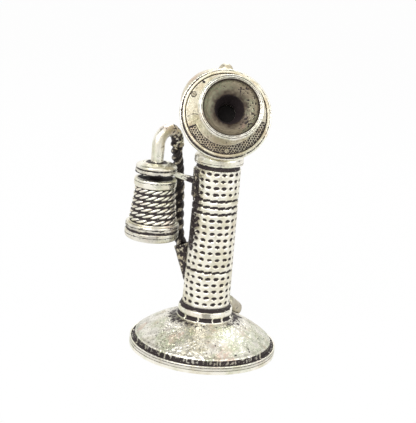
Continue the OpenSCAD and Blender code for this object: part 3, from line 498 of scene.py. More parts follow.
def antique_silver(name, bright, dull, roughness, pores=0.35, bloom=0.3, skin=0.25, hammer=0.0):
    """Sterling silver, sand cast and blackened with liver of sulphur, then rubbed back: warm and
    bright on the high places, brown-black where the cloth didn't reach. On some pieces the oxide
    and tarnish attributes also carry painted shade, in the same colours."""
    look = bpy.context.scene.telephone_silver
    material, tree, shader = blank_material(name)
    where = add(tree, "ShaderNodeTexCoord").outputs["Object"]
    # Name, size in millimetres, and the noise levels between which it goes from low to high.
    # Pores of sand casting are about 0.3 mm. They are drawn 1.2 mm wide, or they wouldn't show.
    patches = {}
    for patch, size, start, end, low, high in (
        ("cloud", 13, 0.40, 0.68, 0, 1), ("moss", 27, 0.46, 0.58, 0, bloom),
        ("lichen", 2.2, 0.36, 0.62, 0.1, 1), ("rose", 22, 0.57, 0.70, 0, bloom),
        ("blush", 3.4, 0.40, 0.60, 0.3, 1), ("ragged", 1.7, 0.30, 0.70, -0.28, 0.28),
        ("pore", 1.2, 0.60, 0.74, 0, pores), ("worn", 11, 0.30, 0.70, 0, 0.12),
        ("grain", 0.8, 0, 1, 0, 0.10), ("skin", 2.6, 0, 1, 0, skin),
    ):  # fmt: skip
        sockets = {"Vector": where, "Scale": 1 / (size * MM), "Detail": 2.0, "Roughness": 0.6}
        noise = add(tree, "ShaderNodeTexNoise", sockets).outputs["Fac"]
        sockets = {"Value": noise, "From Min": start, "From Max": end}
        sockets |= {"To Min": low, "To Max": high}
        patches[patch] = add(
            tree, "ShaderNodeMapRange", sockets, interpolation_type="SMOOTHSTEP"
        ).outputs["Result"]
    oxide = add(tree, "ShaderNodeAttribute", attribute_name="oxide").outputs["Fac"]
    sockets = {0: oxide, 1: patches["ragged"]}
    ragged = add(tree, "ShaderNodeMath", sockets, operation="ADD").outputs[0]
    sockets = {"Value": ragged, "From Min": 0.30, "From Max": 0.72}
    crust = add(
        tree, "ShaderNodeMapRange", sockets, interpolation_type="SMOOTHSTEP"
    ).outputs["Result"]
    sockets = {0: crust, 1: patches["pore"]}
    black = add(tree, "ShaderNodeMath", sockets, operation="MAXIMUM").outputs[0]
    tarnish = add(tree, "ShaderNodeAttribute", attribute_name="tarnish").outputs["Fac"]
    for region, marks in (("moss", "lichen"), ("rose", "blush")):
        sockets = {0: patches[region], 1: patches[marks]}
        patches[marks] = add(tree, "ShaderNodeMath", sockets, operation="MULTIPLY").outputs[0]
    colour = (*bright, 1)
    for share, over in (
        (patches["cloud"], dull), (patches["lichen"], look.lichen), (patches["blush"], look.blush),
        (tarnish, look.tarnish), (black, look.oxide),
    ):  # fmt: skip
        sockets = {0: share, 6: colour, 7: (*over, 1)}
        colour = add(tree, "ShaderNodeMix", sockets, data_type="RGBA").outputs[2]
    tree.links.new(colour, shader.inputs["Base Color"])
    sockets = {0: black, 1: tarnish}
    covered = add(tree, "ShaderNodeMath", sockets, operation="MAXIMUM").outputs[0]
    sockets = {"Value": covered, "To Min": 1.0, "To Max": 0.3}
    metal = add(tree, "ShaderNodeMapRange", sockets).outputs["Result"]
    tree.links.new(metal, shader.inputs["Metallic"])
    sockets = {"Value": black, "To Min": roughness, "To Max": 0.58}
    rough = add(tree, "ShaderNodeMapRange", sockets).outputs["Result"]
    rough = add(tree, "ShaderNodeMath", {0: rough, 1: patches["worn"]}, operation="ADD").outputs[0]
    tree.links.new(rough, shader.inputs["Roughness"])
    sockets = {0: patches["grain"], 1: patches["skin"]}
    lift = add(tree, "ShaderNodeMath", sockets, operation="ADD").outputs[0]
    if hammer:
        # A planishing hammer leaves facets about 3.5 mm across.
        sockets = {"Vector": where, "Scale": 1 / (3.5 * MM), "Smoothness": 0.5}
        marks = add(tree, "ShaderNodeTexVoronoi", sockets, feature="SMOOTH_F1").outputs["Distance"]
        sockets = {0: marks, 1: hammer, 2: lift}
        lift = add(tree, "ShaderNodeMath", sockets, operation="MULTIPLY_ADD").outputs[0]
    bump = add(tree, "ShaderNodeBump", {"Height": lift, "Strength": 0.7, "Distance": MM})
    tree.links.new(bump.outputs["Normal"], shader.inputs["Normal"])
    return material


def plain_finish(
    name, light, dark, size, metallic, roughness, spread=0.1, bump=0.1, lay=(1, 1, 1), gloss=0.5
):
    """A finish of two near colours in patches about size millimetres across. lay stretches the
    patches along an axis, for drawn, turned and woven surfaces."""
    material, tree, shader = blank_material(name)
    where = add(tree, "ShaderNodeTexCoord").outputs["Object"]
    spot = add(tree, "ShaderNodeMapping", {"Vector": where, "Scale": lay}).outputs["Vector"]
    sockets = {"Vector": spot, "Scale": 1 / (size * MM), "Detail": 3.0, "Roughness": 0.6}
    patches = add(tree, "ShaderNodeTexNoise", sockets).outputs["Fac"]
    stops = ((0.3, linear(dark)), (0.7, linear(light)))
    colour = add(tree, "ShaderNodeValToRGB", {"Fac": patches}, stops=stops).outputs["Color"]
    tree.links.new(colour, shader.inputs["Base Color"])
    shader.inputs["Metallic"].default_value = metallic
    shader.inputs["Specular IOR Level"].default_value = gloss
    sockets = {"Value": patches, "From Min": 0.3, "From Max": 0.7}
    sockets |= {"To Min": roughness + spread, "To Max": roughness}
    rough = add(tree, "ShaderNodeMapRange", sockets).outputs["Result"]
    tree.links.new(rough, shader.inputs["Roughness"])
    lift = add(tree, "ShaderNodeBump", {"Height": patches, "Strength": bump, "Distance": MM})
    tree.links.new(lift.outputs["Normal"], shader.inputs["Normal"])
    return material


def finishes():
    """Every finish by the name of the surface that it is on, made once."""
    if finishes.made:
        return finishes.made
    look = bpy.context.scene.telephone_silver
    polished, rubbed, matted = tuple(look.polished), tuple(look.rubbed), tuple(look.matted)
    finishes.made.update(
        # The column is rubbed hardest, so it is nearly white between its dimples.
        column=antique_silver("silver_cast_rubbed_bright", polished, rubbed, 0.34, 0.10, 0.10),
        # The dome is planished: overlapping hammer marks that sparkle, with bloom between them.
        dome=antique_silver("silver_planished", polished, rubbed, 0.20, 0.0, 0.6, 0.8, 1.0),
        rings=antique_silver("silver_turned_rubbed", polished, rubbed, 0.24, 0.10, 0.35),
        face=antique_silver("silver_matted_ground", rubbed, matted, 0.42, 0.25, 0.25),
        # The bowl was never polished: an olive brown film, with painted shade that darkens it
        # towards the throat.
        bowl=antique_silver("silver_bowl_tarnished", matted, matted, 0.36, 0.20, 0.8),
        receiver=antique_silver("silver_cast_rubbed", polished, rubbed, 0.26, 0.25, 0.35, 0.4),
        back=antique_silver("silver_cast_satin", rubbed, matted, 0.34, 0.10, 0.5, 0.4),
        sooty=antique_silver("silver_cast_blackened", rubbed, matted, 0.40, 0.9, 0.15, 0.5),
        # Steel and silver screws and pins: turned, so faint rings, and darkened by handling.
        screws=plain_finish("silver_screw_turned", "#cfc6ae", "#6f675c", 1.6, 1.0, 0.30, 0.15, 0.2),
        # Cast iron: dark, granular, painted over against rust.
        iron=plain_finish("iron_cast_blacked", "#4a4744", "#26231f", 1.4, 0.7, 0.55, 0.15, 0.5),
        # Yellow brass, drawn and gone dull with age.
        brass=plain_finish("brass_drawn_aged", "#c9a35a", "#8a6a33", 3.0, 1.0, 0.30, 0.2, 0.15),
        # Phosphor bronze leaf, rolled: streaks along the leaf.
        bronze=plain_finish(
            "bronze_leaf_rolled", "#c98f62", "#94613c", 1.2, 1.0, 0.28, 0.12, 0.1, (3, 3, 0.4)
        ),
        # Vulcanised fibre: brick red paper board, faintly mottled.
        fibre=plain_finish("fibre_vulcanised", "#7d3a26", "#5b2a1c", 1.6, 0.0, 0.55, 0.15, 0.2),
        # Ferrotype sheet iron, japanned and smooth.
        diaphragm=plain_finish(
            "iron_sheet_japanned", "#1f1b1a", "#141211", 6.0, 0.0, 0.6, 0.1, 0.05, gloss=0.1
        ),
        rubber=plain_finish("rubber_gasket", "#2b2927", "#1b1918", 1.5, 0.0, 0.75, 0.1, 0.3),
        # Green silk-covered magnet wire, wound in even turns 0.6 mm apart.
        wire=plain_finish(
            "silk_covered_wire", "#56613f", "#2e3522", 0.9, 0.0, 0.6, 0.1, 0.6, (0.3, 0.3, 3)
        ),
        # Wool felt: matted fibres, no shine.
        felt=plain_finish("felt_wool_pressed", "#3f4a3a", "#28301f", 0.8, 0.0, 0.95, 0.0, 0.9),
    )
    return finishes.made


finishes.made = {}


def cord_finish():
    """Three strands of dark thread wound with silver tinsel, with painted glints on the crowns and
    painted shade between the strands.
    """
    material, tree, shader = blank_material("tinsel_cord_twisted")
    where = add(tree, "ShaderNodeTexCoord").outputs["Object"]
    stored = add(tree, "ShaderNodeAttribute", attribute_name="oxide").outputs["Fac"]
    # Tinsel is about 0.3 mm wide. It is drawn 0.9 mm wide, or it wouldn't show.
    sockets = {"Vector": where, "Scale": 1 / (0.9 * MM), "Detail": 2.0}
    thread = add(tree, "ShaderNodeTexNoise", sockets).outputs["Fac"]
    sockets = {0: stored, 1: thread}
    hidden = add(tree, "ShaderNodeMath", sockets, operation="ADD").outputs[0]
    stops = ((0.48, linear("#d9d0bc")), (0.58, linear("#5d544e")), (0.80, linear("#2a2322")))
    colour = add(tree, "ShaderNodeValToRGB", {"Fac": hidden}, stops=stops).outputs["Color"]
    tree.links.new(colour, shader.inputs["Base Color"])
    sockets = {"Value": hidden, "From Min": 0.5, "From Max": 1.0, "To Min": 0.95, "To Max": 0.2}
    metal = add(tree, "ShaderNodeMapRange", sockets).outputs["Result"]
    tree.links.new(metal, shader.inputs["Metallic"])
    shader.inputs["Roughness"].default_value = 0.38
    lift = add(tree, "ShaderNodeBump", {"Height": thread, "Strength": 0.7, "Distance": MM})
    tree.links.new(lift.outputs["Normal"], shader.inputs["Normal"])
    return material


def dress(finish, *nodes):
    """Gives CAD nodes a finish."""
    for node in nodes:
        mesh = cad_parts[node].data
        mesh.materials.clear()
        mesh.materials.append(finish)


# ---- The pieces ----


class PlaceCamera(bpy.types.Operator):
    """Stand the camera in front of the telephone"""

    bl_idname = "telephone.place_camera"
    bl_label = "Camera"

    def execute(self, context):
        view = context.scene.telephone_view
        data = bpy.data.cameras.new("camera")
        data.lens, data.sensor_width = view.lens, 36
        data.clip_start, data.clip_end = 0.02, 50
        camera = bpy.data.objects.new("camera", data)
        context.scene.collection.objects.link(camera)
        a, e, roll = view.azimuth, view.elevation, view.roll
        back = Vector((math.sin(a) * math.cos(e), -math.cos(a) * math.cos(e), math.sin(e)))
        right = Vector((math.cos(a), math.sin(a), 0))
        up = back.cross(right)
        across = right * math.cos(roll) + up * math.sin(roll)
        over = up * math.cos(roll) - right * math.sin(roll)
        aim = Vector((0, 0, view.aim_height)) - right * view.aim_left
        matrix = Matrix((across, over, back)).transposed().to_4x4()
        matrix.translation = aim + back * view.distance
        camera.matrix_world = matrix
        context.scene.camera = camera
        return {"FINISHED"}


# Middle of the receiver cord, from its bushing on the column up to the spout
CORD_ROUTE = (
    (-26.4, 15.2, 97), (-28.6, 16.5, 102.5), (-29.8, 19, 109), (-30.2, 23, 117),
    (-30.4, 27.5, 126), (-30.6, 31.5, 136), (-31, 33.5, 146), (-31.8, 33.5, 156),
    (-33.4, 31, 166), (-35.2, 27, 175), (-37, 22.5, 182), (-37.9, 18.6, 187.5),
    (-37.83, 17.57, 191),
)  # fmt: skip


class LayCord(bpy.types.Operator):
    """Lay the twisted cord from the column to the receiver's spout"""

    bl_idname = "telephone.lay_cord"
    bl_label = "Receiver cord"

    def execute(self, context):
        sizes = context.scene.telephone_cord
        line = along(CORD_ROUTE, 0.9)
        length = np.linalg.norm(np.diff(line, axis=0), axis=1).sum()
        across, over = frames(line)
        strand = sizes.diameter / MM / 4 * 1.02
        offset = sizes.diameter / MM / 2 - strand
        turn = np.linspace(0, length / (sizes.lay / MM) * FULL_TURN, len(line))[:, None]
        strands = []
        for phase in (0, FULL_TURN / 3, 2 * FULL_TURN / 3):
            middle = line + offset * (across * np.cos(turn + phase) + over * np.sin(turn + phase))
            strands.append(tube(middle, strand, 14))
        rope = together(*strands)

        def lay(points, normals):
            gaps = np.linalg.norm(points[:, None] - line[None], axis=2).min(axis=1)
            threads = lumps(points, 0.9, 5)
            worn = fade(lumps(points, 3.5, 15), -0.1, 0.6)
            # Painted highlight and shade: the crowns of the strands are painted bright, and the
            # valleys between them dark.
            crowns = fade(gaps, 4.0, 5.6) * (0.50 + 0.5 * worn)
            return -0.12 * np.abs(threads), 1 - crowns + 0.1 * threads

        cord = casting(
            "receiver_cord_twisted", rope, "root", cord_finish(), ["receiver_cord"], lay,
        )  # fmt: skip
        cord.parent = None
        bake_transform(cord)
        return {"FINISHED"}


# Base, from the table up
RIM_R, LEDGE_R, RIM_TOP, DOME_FOOT_Z = 70.0, 65.0, 8.0, 12.1
DOME_R, DOME_CENTRE_Z, DOME_WALL = 102.0, 12.1 - math.sqrt(102**2 - 65**2), 2.4
COLLAR_SEAT_R, SPIGOT_R = 26.7, 9.9
SEAT_Z = DOME_CENTRE_Z + math.sqrt(DOME_R**2 - COLLAR_SEAT_R**2)
# Bright ticks across the black ledge: angle in degrees, and half width in degrees
LEDGE_TICKS = (
    (194, 0.9), (231.5, 0.5), (276, 0.25), (319, 0.7), (12, 0.7), (77, 0.8), (128, 0.7), (166, 0.5),
)
# Bright ticks in the groove of the collar
COLLAR_TICKS = (
    (216, 1.5), (249, 1.2), (280, 1.3), (303, 2.2), (338, 1.8), (27, 1.6), (83, 1.8), (140, 1.8),
)


# Direction of a brown stain on the ring of the collar, in degrees
COLLAR_STAIN = 266
# Painted highlights on the front of the dome, standing for the lamps' reflection: x, y and size
LAMP_HIGHLIGHT_PLACES = ((-36, -36, 13), (20, -42, 16))


def ticks(angle, places, soften=1.0):
    """1 on each tick, and 0 between them."""
    share = np.zeros(len(angle))
    for middle, half in places:
        off = np.degrees(apart(angle, math.radians(middle)))
        share = np.maximum(share, 1 - fade(off, half * 0.6, half * 1.4 + soften * 0.3))
    return share


def dome_z(r, wall=0.0):
    """Height of the dome at a radius, or of its inside."""
    return DOME_CENTRE_Z + math.sqrt((DOME_R - wall) ** 2 - r * r)


class BuildBase(bpy.types.Operator):
    """Planish the dome, and cast the ledge, the collar and the line cord's inlet"""

    bl_idname = "telephone.build_base"
    bl_label = "Base"

    def execute(self, context):
        dents = context.scene.telephone_relief.dent_depth / MM
        inner_r = LEDGE_R - DOME_WALL
        seat_in_r = math.sqrt((DOME_R - DOME_WALL) ** 2 - (SEAT_Z - DOME_WALL - DOME_CENTRE_Z) ** 2)
        skin = rounded(
            [
                (inner_r, 3.6), (RIM_R - 0.1, 3.6, 0.5), (RIM_R - 0.05, RIM_TOP, 0.9),
                (RIM_R - 1.5, RIM_TOP, 0.5), (RIM_R - 1.9, RIM_TOP - 0.9, 0.4),
                (LEDGE_R + 0.7, RIM_TOP - 0.9, 0.6), (LEDGE_R, DOME_FOOT_Z - 0.9, 0.8),
                (LEDGE_R - 0.1, DOME_FOOT_Z, 0.5),
            ],
            0.7,
            closed=False,
        )  # fmt: skip
        top = [(r, dome_z(r)) for r in np.linspace(LEDGE_R - 0.9, COLLAR_SEAT_R + 0.6, 46)]
        hidden = [(COLLAR_SEAT_R - 0.2, SEAT_Z), (SPIGOT_R, SEAT_Z), (SPIGOT_R, SEAT_Z - DOME_WALL)]
        under = [(r, dome_z(r, DOME_WALL)) for r in np.linspace(seat_in_r, inner_r, 14)]
        shell = turned([*skin, *top, *hidden, *under], 320)

        def planish(points, normals):
            r, angle = polar(points)
            z = points[:, 2]
            outside = 1.0 * (normals[:, 2] > -0.2)
            dome = fade(LEDGE_R - r, 0.2, 2.0) * fade(r, COLLAR_SEAT_R - 1, COLLAR_SEAT_R + 0.5)
            dome = dome * (z > DOME_FOOT_Z) * outside
            marks = 0.5 * lumps(points, 5.0, 1) + 0.5 * lumps(points, 2.3, 2)
            height = dome * dents * marks
            height -= band(z, 3.9, 7.6, 0.4) * (r > 69) * 0.14 * (1 + lumps(points, 6, 3)) / 2
            rim = (r > 68.9) * (z < 7.7)
            lines = (band(z, 6.3, 6.8, 0.25) + 1.2 * (1 - fade(z, 3.8, 4.3))) * rim
            height -= 0.12 * lines
            ledge = band(r, LEDGE_R - 0.3, RIM_R - 1.5, 0.3) * (z < DOME_FOOT_Z - 0.3) * (z > 5)
            scored = lumps(np.column_stack([angle * 78, r / 7, z * 0]), 1.0, 4)
            marks_r = lumps(points, 1.5, 5)
            bright = ticks(angle, LEDGE_TICKS)
            height += ledge * (bright * 0.45 + 0.16 * scored + 0.1 * marks_r)
            rubbed = 0.75 * fade(scored + 0.6 * marks_r, 0.05, 0.7)
            oxide = 0.7 * lines + ledge * (0.92 - bright - rubbed)
            # Black oxide was left round the collar, in streaks that run down the dome. Painted
            # shade darkens the same ring, most to the left and right as seen from the front.
            streaks = lumps(np.column_stack([angle * 9, r / 16, z * 0]), 1.0, 6)
            side = np.abs(np.cos(angle - math.radians(8)))
            reach = 5 + 9 * side + 10 * np.clip(streaks, 0, 1)
            near = 1 - fade(r, COLLAR_SEAT_R + 1, COLLAR_SEAT_R + reach)
            fine = lumps(np.column_stack([angle * 24, r / 5, z * 0]), 1.0, 16)
            oxide += outside * dome * near * (0.25 + 0.75 * side) * (1.0 + 0.6 * fine)
            # Painted highlight: two places on the front are painted brighter than the rest,
            # standing for the lamps' reflection.
            polished = np.zeros(len(points))
            for x, y, size in LAMP_HIGHLIGHT_PLACES:
                off = np.hypot(points[:, 0] - x, (points[:, 1] - y) * 1.3) + 3 * lumps(points, 6, 7)
                polished = np.maximum(polished, 1 - fade(off, 0.6 * size, 1.2 * size))
            oxide += dome * (0.12 * fade(-marks, 0.1, 0.7) - 0.12 - 0.3 * polished)
            # Painted shade: the film round the collar is heavier to the left and right, over a
            # tarnish film in patches.
            film = 0.36 * near * side + 0.24 * fade(lumps(points, 5.5, 18), 0.0, 0.8) + 0.10
            film = (film + 0.25 * band(r, LEDGE_R - 2.5, LEDGE_R + 1, 1.0)) * (1 - polished)
            return height, oxide, outside * dome * film + ledge * 0.5 + rim * 0.20

        metal = finishes()
        planished = casting(
            "base_shell_planished", shell, "root", metal["dome"], ["base_shell"], planish
        )
        planished.data.materials.append(metal["rings"])
        for face in planished.data.polygons:
            face.material_index = int(face.center.xy.length > (LEDGE_R + 0.2) * MM)

        groove_r, ring_r, lip_r = 24.5, 25.9, 23.7
        collar = turned(
            rounded(
                [
                    (SPIGOT_R, SEAT_Z), (26.7, SEAT_Z, 0.2), (26.7, SEAT_Z + 1.2, 0.5),
                    (groove_r, SEAT_Z + 2.4, 0.6), (groove_r, SEAT_Z + 5.3, 0.3),
                    (ring_r - 0.4, SEAT_Z + 5.3, 0.4), (ring_r, SEAT_Z + 6.4, 0.6),
                    (ring_r, SEAT_Z + 9.6, 1.0), (ring_r - 0.8, SEAT_Z + 10.7, 0.5),
                    (lip_r, SEAT_Z + 10.7, 0.3), (lip_r, SEAT_Z + 14.1, 0.3), (22.8, SEAT_Z + 14.1),
                    (22.8, SEAT_Z + 4), (SPIGOT_R, SEAT_Z + 4),
                ],
                0.5,
            ),
            240,
        )  # fmt: skip

        def ring_wear(points, normals):
            r, angle = polar(points)
            z = points[:, 2] - SEAT_Z
            groove = band(z, 1.3, 5.5, 0.3) * (r > 23)
            bright = ticks(angle, COLLAR_TICKS, 2.0)
            wave = 0.7 * lumps(points, 4.5, 8)
            neck = fade(z + wave, 10.2, 11.2) * (r < ring_r - 0.6)
            height = groove * bright * 1.0 - neck * 0.25 * (1 + lumps(points, 2.0, 9)) / 2
            height -= 0.22 * (1 + lumps(points, 7, 10)) / 2 * band(z, 6.2, 10, 0.6)
            stain = 0.5 * fade(lumps(points, 8, 11), 0.45, 0.8)
            ring = band(z, 5.6, 10.2, 0.5)
            away = np.degrees(apart(angle, math.radians(COLLAR_STAIN)))
            spot = 1 - fade(away + 3 * lumps(points, 2, 19), 7, 12)
            oxide = np.maximum(groove * (1.05 - bright * 1.2), neck * 1.05) + stain
            return height, oxide, ring * spot * 0.6

        casting("base_collar_cast", collar, "root", metal["rings"], ["base_collar"], ring_wear)

        def worn_casting(points, normals):
            height = 0.18 * lumps(points, 2.6, 12) + 0.08 * lumps(points, 1.2, 13)
            dome_top = DOME_CENTRE_Z + np.sqrt(DOME_R**2 - (points[:, :2] ** 2).sum(axis=1))
            foot = 1 - fade(points[:, 2] - dome_top, 0.2, 2.2)
            oxide = 0.16 + 0.7 * foot + 0.4 * fade(lumps(points, 3, 14), 0.1, 0.6)
            return height, oxide, np.full(len(points), 0.30)

        casting(
            "line_cord_inlet_cast", softened("line_cord_inlet", 0.5), "root", metal["back"],
            ["line_cord_inlet"], worn_casting,
        )  # fmt: skip
        dress(metal["rings"], "base_plate")
        dress(metal["felt"], "felt_pad")
        dress(metal["screws"], "base_plate_screws", "ballast_screws")
        dress(metal["iron"], "ballast_ring")
        dress(metal["fibre"], "terminal_block")
        dress(metal["brass"], "terminal_screws")
        return {"FINISHED"}


# Column
COLUMN_FOOT_Z, COLUMN_TOP_Z = SEAT_Z + 4, 177.0
COLUMN_FOOT_R, COLUMN_TOP_R, COLUMN_BORE_R = 22.7, 21.1, 18.5
FIRST_ROW_Z = 174.0
# Rows whose dimples run together into grooves, counted from the top
GROOVE_ROWS = (4, 5, 6, 15)
# Direction of the painted shade on the side of the column that faces the receiver, in degrees
SHADE_SIDE = 187
HOOK_SLOT = ((-40, -3.2, 153), (-10, 3.2, 171))
BRACKET_SCREW_ZS = (123.0, 138.0)


def dimples(points, sizes):
    """How deep a dimple or groove is at each point of the column, from 0 to 1."""
    r, angle = polar(points)
    z = points[:, 2]
    rise = sizes.dimple_rise / MM
    row = np.round((FIRST_ROW_Z - z) / rise)
    shaky = np.column_stack([row * 7.3, angle * 6, row * 0])
    low = z - (FIRST_ROW_Z - row * rise) + 0.35 * lumps(shaky, 1.0, 20)
    step = FULL_TURN / sizes.dimples_round
    place = angle / step + 0.5 + 0.10 * np.sin(row * 1.9)
    column = np.floor(place)
    spot = np.column_stack([row * 3.1, column % sizes.dimples_round * 2.7, row * 0])
    side = (place - column - 0.5) * step * r + 0.6 * lumps(spot, 1.0, 21)
    grow = 1 + 0.16 * lumps(spot, 1.0, 22)
    wide, tall = sizes.dimple_width / MM / 2 * grow, sizes.dimple_height / MM / 2 * grow
    merged = np.isin(row, GROOVE_ROWS)
    # In a groove row a dimple reaches over to the next one and lies a little slantwise.
    slant = np.where(merged, low - side * 0.13, low)
    reach = np.where(merged, wide * 2.1, wide)
    away = np.sqrt((side / reach) ** 2 + (slant / np.where(merged, tall * 0.92, tall)) ** 2)
    return (1 - fade(away, 0.62, 1.12)) * (row >= 0)


class BuildColumn(bpy.types.Operator):
    """Cast the dimpled column, its neck ring and the bushing of the cord"""

    bl_idname = "telephone.build_column"
    bl_label = "Column"

    def execute(self, context):
        metal, sizes = finishes(), context.scene.telephone_relief
        outside = rounded(
            [(COLUMN_FOOT_R, COLUMN_FOOT_Z), (COLUMN_TOP_R, COLUMN_TOP_Z)], 0.62, closed=False
        )
        tube_wall = turned(
            [*outside, (COLUMN_BORE_R, COLUMN_TOP_Z), (COLUMN_BORE_R, COLUMN_FOOT_Z)], 234
        )
        holes = [rod((10, 0, z), (40, 0, z), 1.7) for z in BRACKET_SCREW_ZS]
        seats = [rod((19.8, 0, z), (40, 0, z), 2.9) for z in BRACKET_SCREW_ZS]
        tube_wall = cut(tube_wall, box_shape(*HOOK_SLOT), *holes, *seats)

        def dimple(points, normals):
            r, angle = polar(points)
            z = points[:, 2]
            skin = fade(r, COLUMN_BORE_R + 1.2, COLUMN_BORE_R + 2.0)
            plain = band(z, 47, 176, 0.6)
            near_slot = (1 - fade(apart(angle, math.pi), 0.33, 0.45)) * band(z, 149, 175, 1.0)
            depth = dimples(points, sizes) * plain * (1 - near_slot) * skin
            # Painted shade: the side towards the receiver, which hangs beside it, is painted black
            # in a ragged strip.
            edge = 0.16 * lumps(points, 6, 23)
            shade = 1 - fade(apart(angle, math.radians(SHADE_SIDE)) + edge, 0.42, 0.62)
            shade = shade * band(z + 54 * edge, 100, 173, 6)
            rough = 0.35 * shade * lumps(points, 2.2, 24)
            height = -sizes.dimple_depth / MM * depth - skin * (
                0.10 * (1 + lumps(points, 2.6, 25)) + 0.3 * shade + np.clip(rough, 0, 1)
            )
            oxide = depth * 1.35 + shade * (0.95 + 0.4 * lumps(points, 3.0, 26))
            oxide += 0.35 * fade(-z, -49.5, -47) + 0.5 * fade(z, 175, 176.5)
            return height, oxide * np.maximum(skin, 0.4)

        casting("column_dimpled", tube_wall, "root", metal["column"], ["column_tube"], dimple)

        neck = turned(
            rounded(
                [
                    (6, 169), (18.4, 169), (18.4, 177), (20.2, 177, 0.2), (20.2, 181, 0.3),
                    (22.3, 181, 0.4), (22.8, 182.2, 0.6), (22.8, 187.6, 1.4), (20.6, 190, 0.8),
                    (6, 190),
                ],
                0.6,
            ),
            200,
        )  # fmt: skip
        neck = cut(neck, rod((0, 4, 188), (0, 4, 200), 14.6, 64))

        def neck_wear(points, normals):
            r = polar(points)[0]
            z = points[:, 2]
            groove = band(z + 0.9 * lumps(points, 4, 30), 176.4, 181.3, 0.3) * (r > 19)
            height = -0.2 * (1 + lumps(points, 6, 31)) / 2 * (z > 181)
            height -= groove * 0.3 * (1 + lumps(points, 2, 32)) / 2
            line = band(z + 0.25 * lumps(points, 5, 33), 183.0, 183.5, 0.25) * (r > 22)
            return height - 0.15 * line, groove * 1.05 + 0.35 * line + 0.3 * fade(z, 189, 190)

        casting("neck_ring_cast", neck, "root", metal["rings"], ["neck_cap"], neck_wear)

        def bushing_wear(points, normals):
            height = 0.28 * lumps(points, 2.4, 34) + 0.12 * lumps(points, 1.1, 35) - 0.15
            return height, 0.80 + 0.6 * lumps(points, 3.2, 36)

        casting(
            "cord_bushing_cast", softened("cord_bushing", 0.5), "root", metal["sooty"],
            ["cord_bushing"], bushing_wear,
        )  # fmt: skip
        dress(metal["back"], "tilt_bracket")
        dress(metal["screws"], "bracket_foot_screws", "tilt_pin", "tilt_nut", "bracket_screws")
        dress(metal["brass"], "column_foot", "column_nut")
        return {"FINISHED"}


class BuildHook(bpy.types.Operator):
    """Cast the switch hook and its plate, and finish the contacts behind them"""

    bl_idname = "telephone.build_hook"
    bl_label = "Switch hook"

    def execute(self, context):
        metal = finishes()

        def hook_wear(points, normals):
            height = 0.12 * lumps(points, 3.4, 40) - 0.06
            root = band(points[:, 0], -30, 60, 5)
            prong = 1 - fade(np.abs(points[:, 0] + 57), 6, 14)
            return height, 0.9 * root + 0.35 * prong + 0.35 * fade(lumps(points, 4, 41), 0.1, 0.6)

        casting(
            "switch_hook_forged", softened("switch_hook", 0.42, repeats=5), "hook",
            metal["receiver"], ["switch_hook"], hook_wear,
        )  # fmt: skip

        def plate_wear(points, normals):
            height = 0.15 * lumps(points, 2.2, 42) - 0.08
            return height, 0.85 + 0.5 * lumps(points, 3, 43)

        casting(
            "hook_escutcheon_cast", softened("hook_escutcheon", 0.4), "root", metal["sooty"],
            ["hook_escutcheon"], plate_wear,
        )  # fmt: skip
        dress(metal["screws"], "hook_pivot_pin", "stack_screws", "stud_rivet")
        dress(metal["brass"], "hook_bracket")
        dress(metal["bronze"], "fixed_contact_springs", "moving_spring_root")
        dress(metal["bronze"], "moving_contact_spring", "lift_spring")
        dress(metal["fibre"], "spring_insulators", "hook_stud")
        return {"FINISHED"}


# Transmitter. Its face has a frame of its own: right, up along the plate, and out of it.
FACE_UP = Vector((0, 0.3746, 0.9272))
FACE_PLACE = Matrix(
    ((1, 0, 0, 0), (0, FACE_UP.y, -FACE_UP.z, -18), (0, FACE_UP.z, FACE_UP.y, 230.4), (0, 0, 0, 1))
)
FACE_SCREW_R, FACE_SCREW_ANGLES = 34.0, np.radians((32.5, 152.5, 272.5))
FACE_SCREWS = FACE_SCREW_R * np.column_stack([np.cos(FACE_SCREW_ANGLES), np.sin(FACE_SCREW_ANGLES)])
KNOB_FOOT_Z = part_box("top_knob")[0][2] / MM
PUNCH_PITCH, PUNCH_R = 2.4, 0.85
# The punched ground: the direction of its middle, and how far it reaches to each side
GROUND_MIDDLE, GROUND_REACH = math.radians(277), math.radians(72)
# A casting pit on the face
FACE_PIT = (-21.5, 27.5)
# Surfaces of the mouthpiece with more tarnish than this have the finish of the bowl.
BOWL_FILM = 0.3


def punches(points):
    """1 in the middle of each punched dot of the ground, on rows that step by half a pitch."""
    row = np.round(points[:, 1] / (PUNCH_PITCH * 0.87))
    across = points[:, 0] / PUNCH_PITCH + row % 2 / 2
    shaky = np.column_stack([row * 5.1, np.round(across) * 3.7, row * 0])
    dx = (across - np.round(across)) * PUNCH_PITCH + 0.25 * lumps(shaky, 1.0, 50)
    dy = points[:, 1] - row * PUNCH_PITCH * 0.87 + 0.25 * lumps(shaky, 1.0, 51)
    return 1 - fade(np.hypot(dx, dy), PUNCH_R * 0.5, PUNCH_R * 1.5)


